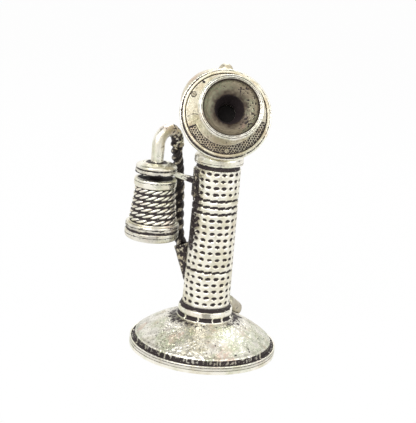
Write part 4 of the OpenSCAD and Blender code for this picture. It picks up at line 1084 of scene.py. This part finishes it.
class BuildTransmitter(bpy.types.Operator):
    """Cast the transmitter's cup, its faceplate, the mouthpiece and the knob on top"""

    bl_idname = "telephone.build_transmitter"
    bl_label = "Transmitter"

    def execute(self, context):
        metal = finishes()

        def cup_wear(points, normals):
            height = 0.22 * lumps(points, 6.5, 52) + 0.10 * lumps(points, 2.6, 53) - 0.1
            return height, 0.20 * fade(lumps(points, 9, 54), 0.1, 0.7) - 0.05

        casting(
            "transmitter_cup_cast", softened("transmitter_cup", 0.8), "transmitter", metal["back"],
            ["transmitter_cup"], cup_wear,
        )  # fmt: skip

        flange = turned(
            rounded(
                [
                    (27, -6), (41.2, -6, 0.5), (42, -5, 0.6), (42, -2.4, 0.6), (41.2, -1.6, 0.4),
                    (27, -1.6),
                ],
                0.6,
            ),
            300,
        )  # fmt: skip

        def flange_wear(points, normals):
            r, angle = polar(points)
            height = -0.22 * (1 + lumps(points, 5, 56)) / 2 * (r > 40)
            low = 0.5 + 0.5 * np.cos(angle - math.radians(222))
            step = band(r, 39.3, 41.1 - 0.5 * (1 - low), 0.25) * (points[:, 2] > -2.6)
            return height, step * (0.35 + 0.75 * low) + 0.3 * fade(lumps(points, 4, 57), 0.3, 0.7)

        casting(
            "transmitter_flange_turned", flange, "transmitter", metal["rings"],
            ["transmitter_flange"], flange_wear, FACE_PLACE,
        )  # fmt: skip

        plate = turned(
            rounded(
                [
                    (13.9, -1.6), (39.4, -1.6), (39.4, 0.7, 0.5), (38.9, 1.15, 0.4),
                    (37.3, 1.15, 0.4), (36.7, 0.0, 0.3), (13.9, 0.0),
                ],
                0.42,
            ),
            420,
        )  # fmt: skip

        def face_wear(points, normals):
            r, angle = polar(points)
            front = (points[:, 2] > -0.4) * (normals[:, 2] > 0.3)
            soft = math.radians(2)
            away = apart(angle, GROUND_MIDDLE)
            lower = 1 - fade(away, GROUND_REACH - soft, GROUND_REACH + soft)
            ground = band(r, 29.6, 35.4, 0.35) * lower * front
            dots = punches(points)
            ends = 1 - fade(np.abs(away - GROUND_REACH - soft / 2) * r, 0.3, 0.9)
            arc = np.maximum(band(r, 29.0, 29.5, 0.25), band(r, 35.5, 36.0, 0.25)) * lower
            arc = np.maximum(arc, ends * band(r, 29.2, 35.8, 0.4)) * front
            moat = band(r, 36.2, 36.9, 0.25) * front
            root = (1 - fade(r, 18.7, 20.6)) * front
            height = -0.42 * ground * dots - 0.3 * arc - 0.2 * moat
            height -= (0.14 * (1 + lumps(points, 4.5, 58)) / 2) * (points[:, 2] > 0.3)
            height += front * (r < 36.5) * 0.09 * lumps(points, 2.6, 59)
            uneven = 0.50 + 0.35 * fade(points[:, 0], -18, 8) + 0.12 * lumps(points, 5, 67)
            oxide = ground * (0.08 + uneven * dots) + 0.75 * arc + 0.8 * moat + 0.9 * root
            oxide += front * (r < 36.5) * (0.12 + 0.30 * fade(lumps(points, 5, 60), 0.2, 0.8))
            film = front * (r < 36.5) * (0.12 + 0.14 * fade(lumps(points, 9, 69), -0.2, 0.6))
            film += 0.14 * ground
            near = np.linalg.norm(points[:, None, :2] - FACE_SCREWS[None], axis=2).min(axis=1)
            oxide += band(near, 1.9, 2.7, 0.25) * front * 0.8
            # One deep casting pit at the upper left, and a scratch across the left side
            pit = np.linalg.norm(points[:, :2] - FACE_PIT, axis=1)
            scratch = band(points[:, 1] + 2.2 + 0.06 * (points[:, 0] + 28) ** 2, -0.25, 0.25, 0.3)
            scratch = scratch * (points[:, 0] < -21) * front * (r < 36)
            oxide += (1 - fade(pit, 0.7, 2.0)) * front + 0.5 * scratch
            height -= 0.12 * scratch
            rim = points[:, 2] > 0.5
            return height, np.where(rim, 0.2 * fade(lumps(points, 3.5, 61), 0.3, 0.9), oxide), film

        casting(
            "faceplate_matted", plate, "transmitter", metal["face"], ["faceplate"], face_wear,
            FACE_PLACE,
        )  # fmt: skip

        bowl = turned(
            rounded(
                [
                    (8, -1.6), (13.8, -1.6), (13.8, 0), (18.5, 0, 0.2), (18.5, 2, 0.8),
                    (15.6, 4, 0.8), (15.5, 8, 1.5), (16.5, 13, 2), (19.5, 18, 2),
                    (24.5, 22.5, 2), (29.0, 25.6, 0.8),
                    (29.6, 27.3, 0.8), (28.7, 28.9, 0.6), (25.8, 28.9, 0.5), (24.9, 28.0, 0.3),
                    (23.6, 25, 1), (20, 21.5, 2), (15.5, 19, 2), (13, 17.5, 1.5), (11.5, 12, 2),
                    (9, 5, 1.5), (8, 1, 0.5),
                ],
                0.36,
            ),
            300,
        )  # fmt: skip

        def bowl_wear(points, normals):
            r, angle = polar(points)
            z = points[:, 2]
            inside = (z > 4) * (normals[:, 2] > -0.1) * (r < 25.2)
            lip = z > 27.6
            rings = (0.7 * band(r, 25.9, 26.4, 0.25) + band(r, 27.5, 28.1, 0.3)) * lip
            right = 1 - fade(apart(angle, math.radians(5)), 0.7, 1.3)
            pits = fade(lumps(points, 1.5, 62), 0.25, 0.6) * (0.12 + 0.75 * right)
            pits = pits * band(r, 15.5, 23.2, 1.0) * inside
            # Painted shade: the throat is painted black, and the film is painted darker deeper in
            # the bowl.
            throat_shade = (1 - fade(z, 15.5, 19.5)) * (r < 16) * (z > 0.5)
            edge = band(r, 24.2, 25.4, 0.3) * (z > 25)
            height = -0.35 * rings - 0.5 * pits + inside * 0.12 * lumps(points, 4, 63)
            height -= 0.14 * (1 + lumps(points, 3, 64)) / 2 * (1 - inside)
            oxide = 0.7 * rings + 0.85 * pits + 1.2 * throat_shade + 0.6 * edge
            foot = (1 - fade(z, 1.5, 4.5)) * (r > 15)
            deep_shade = 1 - fade(r + 0.8 * lumps(points, 4, 65), 14.0, 22.5)
            film = inside * (0.50 + 0.50 * deep_shade) * (0.95 + 0.15 * lumps(points, 2.2, 68))
            film = np.maximum(film, 0.9 * edge) + 0.16 * lip
            return height, oxide + 0.25 * foot, film

        horn = casting(
            "mouthpiece_turned", bowl, "transmitter", metal["rings"], ["mouthpiece"], bowl_wear,
            FACE_PLACE,
        )  # fmt: skip
        horn.data.materials.append(metal["bowl"])
        film = np.empty(len(horn.data.vertices), np.float32)
        horn.data.attributes["tarnish"].data.foreach_get("value", film)
        for face in horn.data.polygons:
            face.material_index = int(film[face.vertices[0]] > BOWL_FILM)

        def knob_wear(points, normals):
            height = 0.14 * lumps(points, 3.6, 66) - 0.06
            foot = 1 - fade(points[:, 2], KNOB_FOOT_Z, KNOB_FOOT_Z + 2.0)
            return height, 0.5 * foot - 0.6 * (1 - foot), np.full(len(points), 0.12)

        casting(
            "top_knob_cast", softened("top_knob", 0.45), "transmitter", metal["face"],
            ["top_knob"], knob_wear,
        )  # fmt: skip
        dress(metal["screws"], "faceplate_screws", "bridge_screws")
        dress(metal["brass"], "carbon_button", "button_bridge", "transmitter_terminals")
        dress(metal["bronze"], "damping_springs")
        dress(metal["rubber"], "transmitter_gasket")
        dress(metal["diaphragm"], "transmitter_diaphragm")
        return {"FINISHED"}


# Receiver, on an upright axis of its own
RECEIVER_PLACE = Matrix.Translation((-57, 0, 0))
BARREL_FOOT, BARREL_TOP = (20.8, 122.0), (17.4, 156.2)
BAND_COUNT, BAND_FOOT_Z, BAND_PITCH, BAND_WIRE_R = 6, 125.9, 5.5, 2.6
BAND_OUTER_FOOT, BAND_OUTER_TOP = 22.4, 19.0
BAND_STRANDS, BAND_LEAN, BAND_GROOVE = 16, 3, 1.1


def barrel_r(z):
    """Radius of the receiver's tapered barrel at a height."""
    (r0, z0), (r1, z1) = BARREL_FOOT, BARREL_TOP
    return r0 + (r1 - r0) * (z - z0) / (z1 - z0)


class BuildReceiver(bpy.types.Operator):
    """Cast the receiver's shell, its twisted bands, its caps and its bent spout"""

    bl_idname = "telephone.build_receiver"
    bl_label = "Receiver"

    def execute(self, context):
        metal = finishes()
        shell = turned(
            rounded(
                [
                    (22, 115.4), (22, 122), (22.4, 122, 0.1), (22.4, 123, 0.3), (20.75, 123.2),
                    (17.45, 156.2), (19.0, 156.2, 0.4), (19.7, 157.3, 0.6), (19.7, 162.7, 0.8),
                    (18.6, 163.9, 0.6), (6.3, 163.9), (6.3, 157.2), (15.2, 157.2), (18.6, 122),
                    (19.8, 122), (19.8, 115.4),
                ],
                0.6,
            ),
            200,
        )  # fmt: skip

        def shell_wear(points, normals):
            r = polar(points)[0]
            z = points[:, 2]
            barrel = band(z, 123.3, 156.0, 0.3) * (r > barrel_r(z) - 0.5)
            line = band(z + 0.3 * lumps(points, 5, 70), 161.3, 161.9, 0.3) * (r > 19)
            dark = 0.7 * fade(lumps(points, 7, 71), 0.25, 0.7) * band(z, 156, 164, 0.5)
            height = -0.16 * (1 + lumps(points, 5, 72)) / 2 * band(z, 156.5, 164, 0.5)
            top = (z > 163.6) * (1 - fade(r, 14.5, 17.5))
            return height - 0.22 * line, barrel * 1.0 + line * 0.8 + dark + top * 1.0

        casting(
            "receiver_shell_cast", shell, "receiver", metal["receiver"], ["receiver_shell"],
            shell_wear, RECEIVER_PLACE,
        )  # fmt: skip

        around, over = 340, 26
        turn = np.arange(around) * FULL_TURN / around
        swing = np.arange(over) * FULL_TURN / over
        points, faces, crowns = [], [], []
        for i in range(BAND_COUNT):
            start = len(points) * around * over
            z = BAND_FOOT_Z + BAND_PITCH * i
            outer = BAND_OUTER_FOOT + (BAND_OUTER_TOP - BAND_OUTER_FOOT) * i / (BAND_COUNT - 1)
            theta, phi = np.meshgrid(turn, swing, indexing="ij")
            phase = (BAND_STRANDS * theta - BAND_LEAN * phi + i * 1.7) / 2
            crown = np.abs(np.sin(phase)) ** 0.9
            radius = BAND_WIRE_R - BAND_GROOVE * (1 - crown)
            # The bands lie close, and black fills the valley between two of them.
            crown = crown * (1 - fade(np.abs(np.sin(phi)), 0.62, 0.92))
            height = z + radius * np.sin(phi)
            r = outer - BAND_WIRE_R + radius * np.cos(phi)
            r = np.maximum(r, barrel_r(height) - 0.15)
            points.append(
                np.stack([r * np.cos(theta), r * np.sin(theta), height], axis=-1).reshape(-1, 3)
            )
            crowns.append(crown.ravel())
            for k in range(around):
                n = (k + 1) % around
                for j in range(over):
                    m = (j + 1) % over
                    face = (k * over + j, n * over + j, n * over + m, k * over + m)
                    faces.append([start + c for c in face])
        crowns = np.concatenate(crowns)

        def rope_wear(points, normals):
            worn = 0.5 * fade(lumps(points, 4.0, 73), 0.35, 0.8)
            height = -0.10 * (1 + lumps(points, 1.6, 74)) / 2
            return height, 1.1 - 1.2 * fade(crowns, 0.30, 0.66) + worn * 0.7

        casting(
            "receiver_bands_twisted", (np.vstack(points), faces), "receiver", metal["receiver"],
            ["receiver_bands"], rope_wear, RECEIVER_PLACE,
        )  # fmt: skip

        tail = turned(
            rounded(
                [
                    (4, 168.2), (4, 178.6), (9, 178.5, 1), (14.2, 177.9, 2), (18.2, 176.3, 1.2),
                    (19.2, 174.9, 0.6), (19.0, 173.4, 0.3), (18.4, 173.0, 0.2), (18.4, 172.6, 0.2),
                    (19.3, 172.1, 0.3), (19.4, 168.9, 0.4), (18.8, 168.4, 0.3), (18.0, 168.6, 0.2),
                    (18.0, 170.2, 0.2), (6.2, 170.2),
                    (6.2, 156.2), (0, 156.2), (0, 168.2),
                ],
                0.5,
            ),
            220,
        )  # fmt: skip
        # The skirt is open where the fork of the hook slides out.
        tail = cut(tail, box_shape((2, -12.5, 166), (30, 12.5, 170.2)))

        def tail_wear(points, normals):
            r = polar(points)[0]
            z = points[:, 2]
            height = -0.3 * (1 + lumps(points, 6, 75)) / 2 * (r > 12)
            height -= (normals[:, 2] < -0.5) * (r > 17.5) * (1 + lumps(points, 5, 85)) * 0.45
            groove = band(z, 172.4, 173.3, 0.3) * (r > 17)
            groove = groove * (0.4 + 0.6 * fade(lumps(points, 6, 90), -0.2, 0.5))
            root = (1 - fade(r + 0.9 * lumps(points, 4, 76), 9.0, 11.5)) * (z > 176)
            # Painted shade: black under the skirt and inside it, and a film painted darker towards
            # the bottom of the cap, over tarnish patches.
            under = 1 - fade(z + 1.2 * lumps(points, 5, 86), 169.3, 170.5)
            under = under + (z < 170.4) * (r < 18)
            stain = 0.25 * fade(lumps(points, 5, 77), 0.2, 0.7)
            film = 0.22 * fade(lumps(points, 7, 88), -0.1, 0.6) + 0.2 * (1 - fade(z, 172, 176))
            return height, 0.9 * groove + root + under + stain, film

        casting(
            "tail_cap_cast", tail, "receiver", metal["receiver"], ["tail_cap"], tail_wear,
            RECEIVER_PLACE,
        )  # fmt: skip

        def spout_wear(points, normals):
            height = 0.26 * lumps(points, 6, 78) + 0.08 * lumps(points, 2.6, 79) - 0.16
            foot = 1 - fade(points[:, 2], 177.2, 179.2)
            stain = fade(lumps(points, 5.5, 80), 0.15, 0.6)
            # The leg where the cord comes out is crinkled, and darker than the rest.
            leg = fade(points[:, 0], -48, -42)
            height += leg * 0.22 * lumps(points, 1.8, 92)
            return height, 0.75 * foot + 0.45 * stain + leg * (0.50 + 0.75 * lumps(points, 2.2, 93))

        casting(
            "cord_spout_bent", softened("cord_spout", 0.5, repeats=6), "receiver",
            metal["receiver"], ["cord_spout"], spout_wear,
        )  # fmt: skip
        casting(
            "spout_ferrule_cast", softened("spout_ferrule", 0.35), "receiver", metal["sooty"],
            ["spout_ferrule"], spout_wear,
        )  # fmt: skip

        ear = turned(
            rounded(
                [
                    (5.5, 111), (19, 107), (22.9, 107, 0.5), (24.6, 108.2, 0.7), (25.3, 110.4, 0.8),
                    (25.3, 114.5, 0.5), (24.2, 115.2, 0.2), (24.2, 116.8, 0.2), (25, 117.5, 0.4),
                    (25, 121, 0.6), (24.2, 122, 0.4), (22.05, 122), (22.05, 115), (19.4, 115),
                    (19.4, 113.6), (5.5, 113.6),
                ],
                0.5,
            ),
            220,
        )  # fmt: skip

        def ear_wear(points, normals):
            r, angle = polar(points)
            z = points[:, 2]
            ragged = 0.55 * lumps(points, 4, 91)
            groove = band(z + ragged, 115.1, 116.9, 0.3) * (r > 23)
            lines = band(z + 0.2 * lumps(points, 5, 81), 111.6, 112.1, 0.25) * (r > 24)
            lines += band(z + 0.2 * lumps(points, 5, 82), 119.2, 119.7, 0.25) * (r > 24)
            cup = (normals[:, 2] < -0.3) * (r < 22)
            streaks = fade(lumps(np.column_stack([angle * 5, z / 0.9, z * 0]), 1.0, 87), 0.1, 0.5)
            streaks *= band(z, 116.9, 121.9, 0.3) + 0.5 * band(z, 108, 115, 0.5)
            lines += streaks * (r > 23)
            height = -0.18 * (1 + lumps(points, 5, 83)) / 2 * (r > 24) - 0.2 * lines
            film = 0.14 + 0.30 * fade(lumps(points, 5, 89), -0.1, 0.6)
            oxide = 0.95 * groove + 0.75 * lines + cup * (0.5 + 0.4 * lumps(points, 4, 84))
            return height, oxide, film

        casting(
            "ear_cap_turned", ear, "receiver", metal["receiver"], ["ear_cap"], ear_wear,
            RECEIVER_PLACE,
        )  # fmt: skip
        dress(metal["diaphragm"], "receiver_diaphragm")
        dress(metal["iron"], "receiver_magnet", "pole_pieces")
        dress(metal["wire"], "receiver_coils")
        dress(metal["screws"], "magnet_screw")
        return {"FINISHED"}


# Stage: light of the sky on things, share of the floor's white that is its own, and its side in
# metres. The horizon is out of view.
SKY_LIGHT, FLOOR_GLOW, FLOOR_SIDE = 0.55, 0.97, 40
STAGE_MIDDLE = Vector((0, 0, 0.14))
# Name, place in metres, size in metres and watts
LAMPS = (
    ("key", (-0.75, -1.1, 1.25), 1.0, 18.0),
    ("fill", (1.2, -0.9, 0.8), 0.9, 5.0),
    ("rim", (0.2, 1.0, 1.3), 0.8, 6.0),
)
# Name, place in metres, width and height
CARDS = (
    ("card_high", (-0.5, 0.35, 1.25), 0.9, 0.7),
    ("card_low", (0.15, -1.5, 0.20), 0.9, 0.35),
    ("card_right", (1.3, 0.25, 0.35), 0.5, 0.6),
    ("card_left", (-1.3, 0.1, 0.35), 0.35, 0.6),
)


class SetStage(bpy.types.Operator):
    """Set out the pale floor, the lamps, and the dark cards that the silver reflects"""

    bl_idname = "telephone.set_stage"
    bl_label = "Stage"

    def execute(self, context):
        world = bpy.data.worlds.new("studio")
        world.use_nodes = True
        tree = world.node_tree
        tree.nodes.clear()
        sockets = {"Value": seen_directly(tree), "To Min": SKY_LIGHT, "To Max": 1.0}
        level = add(tree, "ShaderNodeMapRange", sockets).outputs["Result"]
        sockets = {"Color": (1, 1, 1, 1), "Strength": level}
        sky = add(tree, "ShaderNodeBackground", sockets).outputs["Background"]
        add(tree, "ShaderNodeOutputWorld", {"Surface": sky})
        context.scene.world = world

        floor_mesh = as_mesh("floor", sheet(FLOOR_SIDE, FLOOR_SIDE))
        floor = bpy.data.objects.new("floor", floor_mesh)
        context.scene.collection.objects.link(floor)
        material = bpy.data.materials.new("paper_white_matte")
        material.use_nodes = True
        tree = material.node_tree
        tree.nodes.clear()
        paper = add(tree, "ShaderNodeBsdfDiffuse", {"Color": (0.9, 0.9, 0.89, 1)}).outputs["BSDF"]
        glow = add(tree, "ShaderNodeEmission", {"Color": (1, 1, 1, 1), "Strength": 1.0})
        sockets = {0: seen_directly(tree), 1: FLOOR_GLOW}
        share = add(tree, "ShaderNodeMath", sockets, operation="MULTIPLY").outputs[0]
        sockets = {0: share, 1: paper, 2: glow.outputs["Emission"]}
        mix = add(tree, "ShaderNodeMixShader", sockets).outputs["Shader"]
        add(tree, "ShaderNodeOutputMaterial", {"Surface": mix})
        floor_mesh.materials.append(material)

        for name, place, size, power in LAMPS:
            data = bpy.data.lights.new(name, "AREA")
            data.shape, data.size, data.energy = "DISK", size, power
            lamp = bpy.data.objects.new(name, data)
            context.scene.collection.objects.link(lamp)
            lamp.location = place
            lamp.rotation_euler = (Vector(place) - STAGE_MIDDLE).to_track_quat("Z", "Y").to_euler()

        card_face = plain_finish("card_black_matte", "#1a1816", "#121110", 40, 0.0, 0.9)
        for name, place, width, height in CARDS:
            mesh = as_mesh(name, sheet(width, height))
            mesh.materials.append(card_face)
            card = bpy.data.objects.new(name, mesh)
            context.scene.collection.objects.link(card)
            card.location = place
            card.rotation_euler = (Vector(place) - STAGE_MIDDLE).to_track_quat("Z", "Y").to_euler()
            card.visible_camera = card.visible_diffuse = card.visible_shadow = False
        context.scene.view_settings.view_transform = "Standard"
        return {"FINISHED"}


class TelephonePanel(bpy.types.Panel):
    """The telephone's sizes and colours, and what makes its pieces"""

    bl_idname = "VIEW3D_PT_telephone"
    bl_label = "Candlestick telephone"
    bl_space_type = "VIEW_3D"
    bl_region_type = "UI"
    bl_category = "Telephone"

    def draw(self, context):
        scene = context.scene
        groups = (scene.telephone_silver, scene.telephone_relief, scene.telephone_cord)
        for group in (*groups, scene.telephone_view):
            box = self.layout.box()
            for name in group.__annotations__:
                box.prop(group, name)
        for operator in OPERATORS:
            self.layout.operator(operator.bl_idname)


GROUPS = {
    "telephone_silver": TelephoneSilver,
    "telephone_relief": TelephoneRelief,
    "telephone_cord": TelephoneCord,
    "telephone_view": TelephoneView,
}
OPERATORS = (
    PlaceCamera, LayCord, BuildBase, BuildColumn, BuildHook, BuildTransmitter, BuildReceiver,
    SetStage,
)  # fmt: skip


def register():
    for kind in (*GROUPS.values(), *OPERATORS, TelephonePanel):
        bpy.utils.register_class(kind)
    for name, group in GROUPS.items():
        setattr(bpy.types.Scene, name, bpy.props.PointerProperty(type=group))


def unregister():
    for name in GROUPS:
        delattr(bpy.types.Scene, name)
    for kind in reversed((*GROUPS.values(), *OPERATORS, TelephonePanel)):
        bpy.utils.unregister_class(kind)


def main():
    register()
    for operator in OPERATORS:
        group, name = operator.bl_idname.split(".")
        getattr(getattr(bpy.ops, group), name)()


if __name__ == "__main__":
    main()
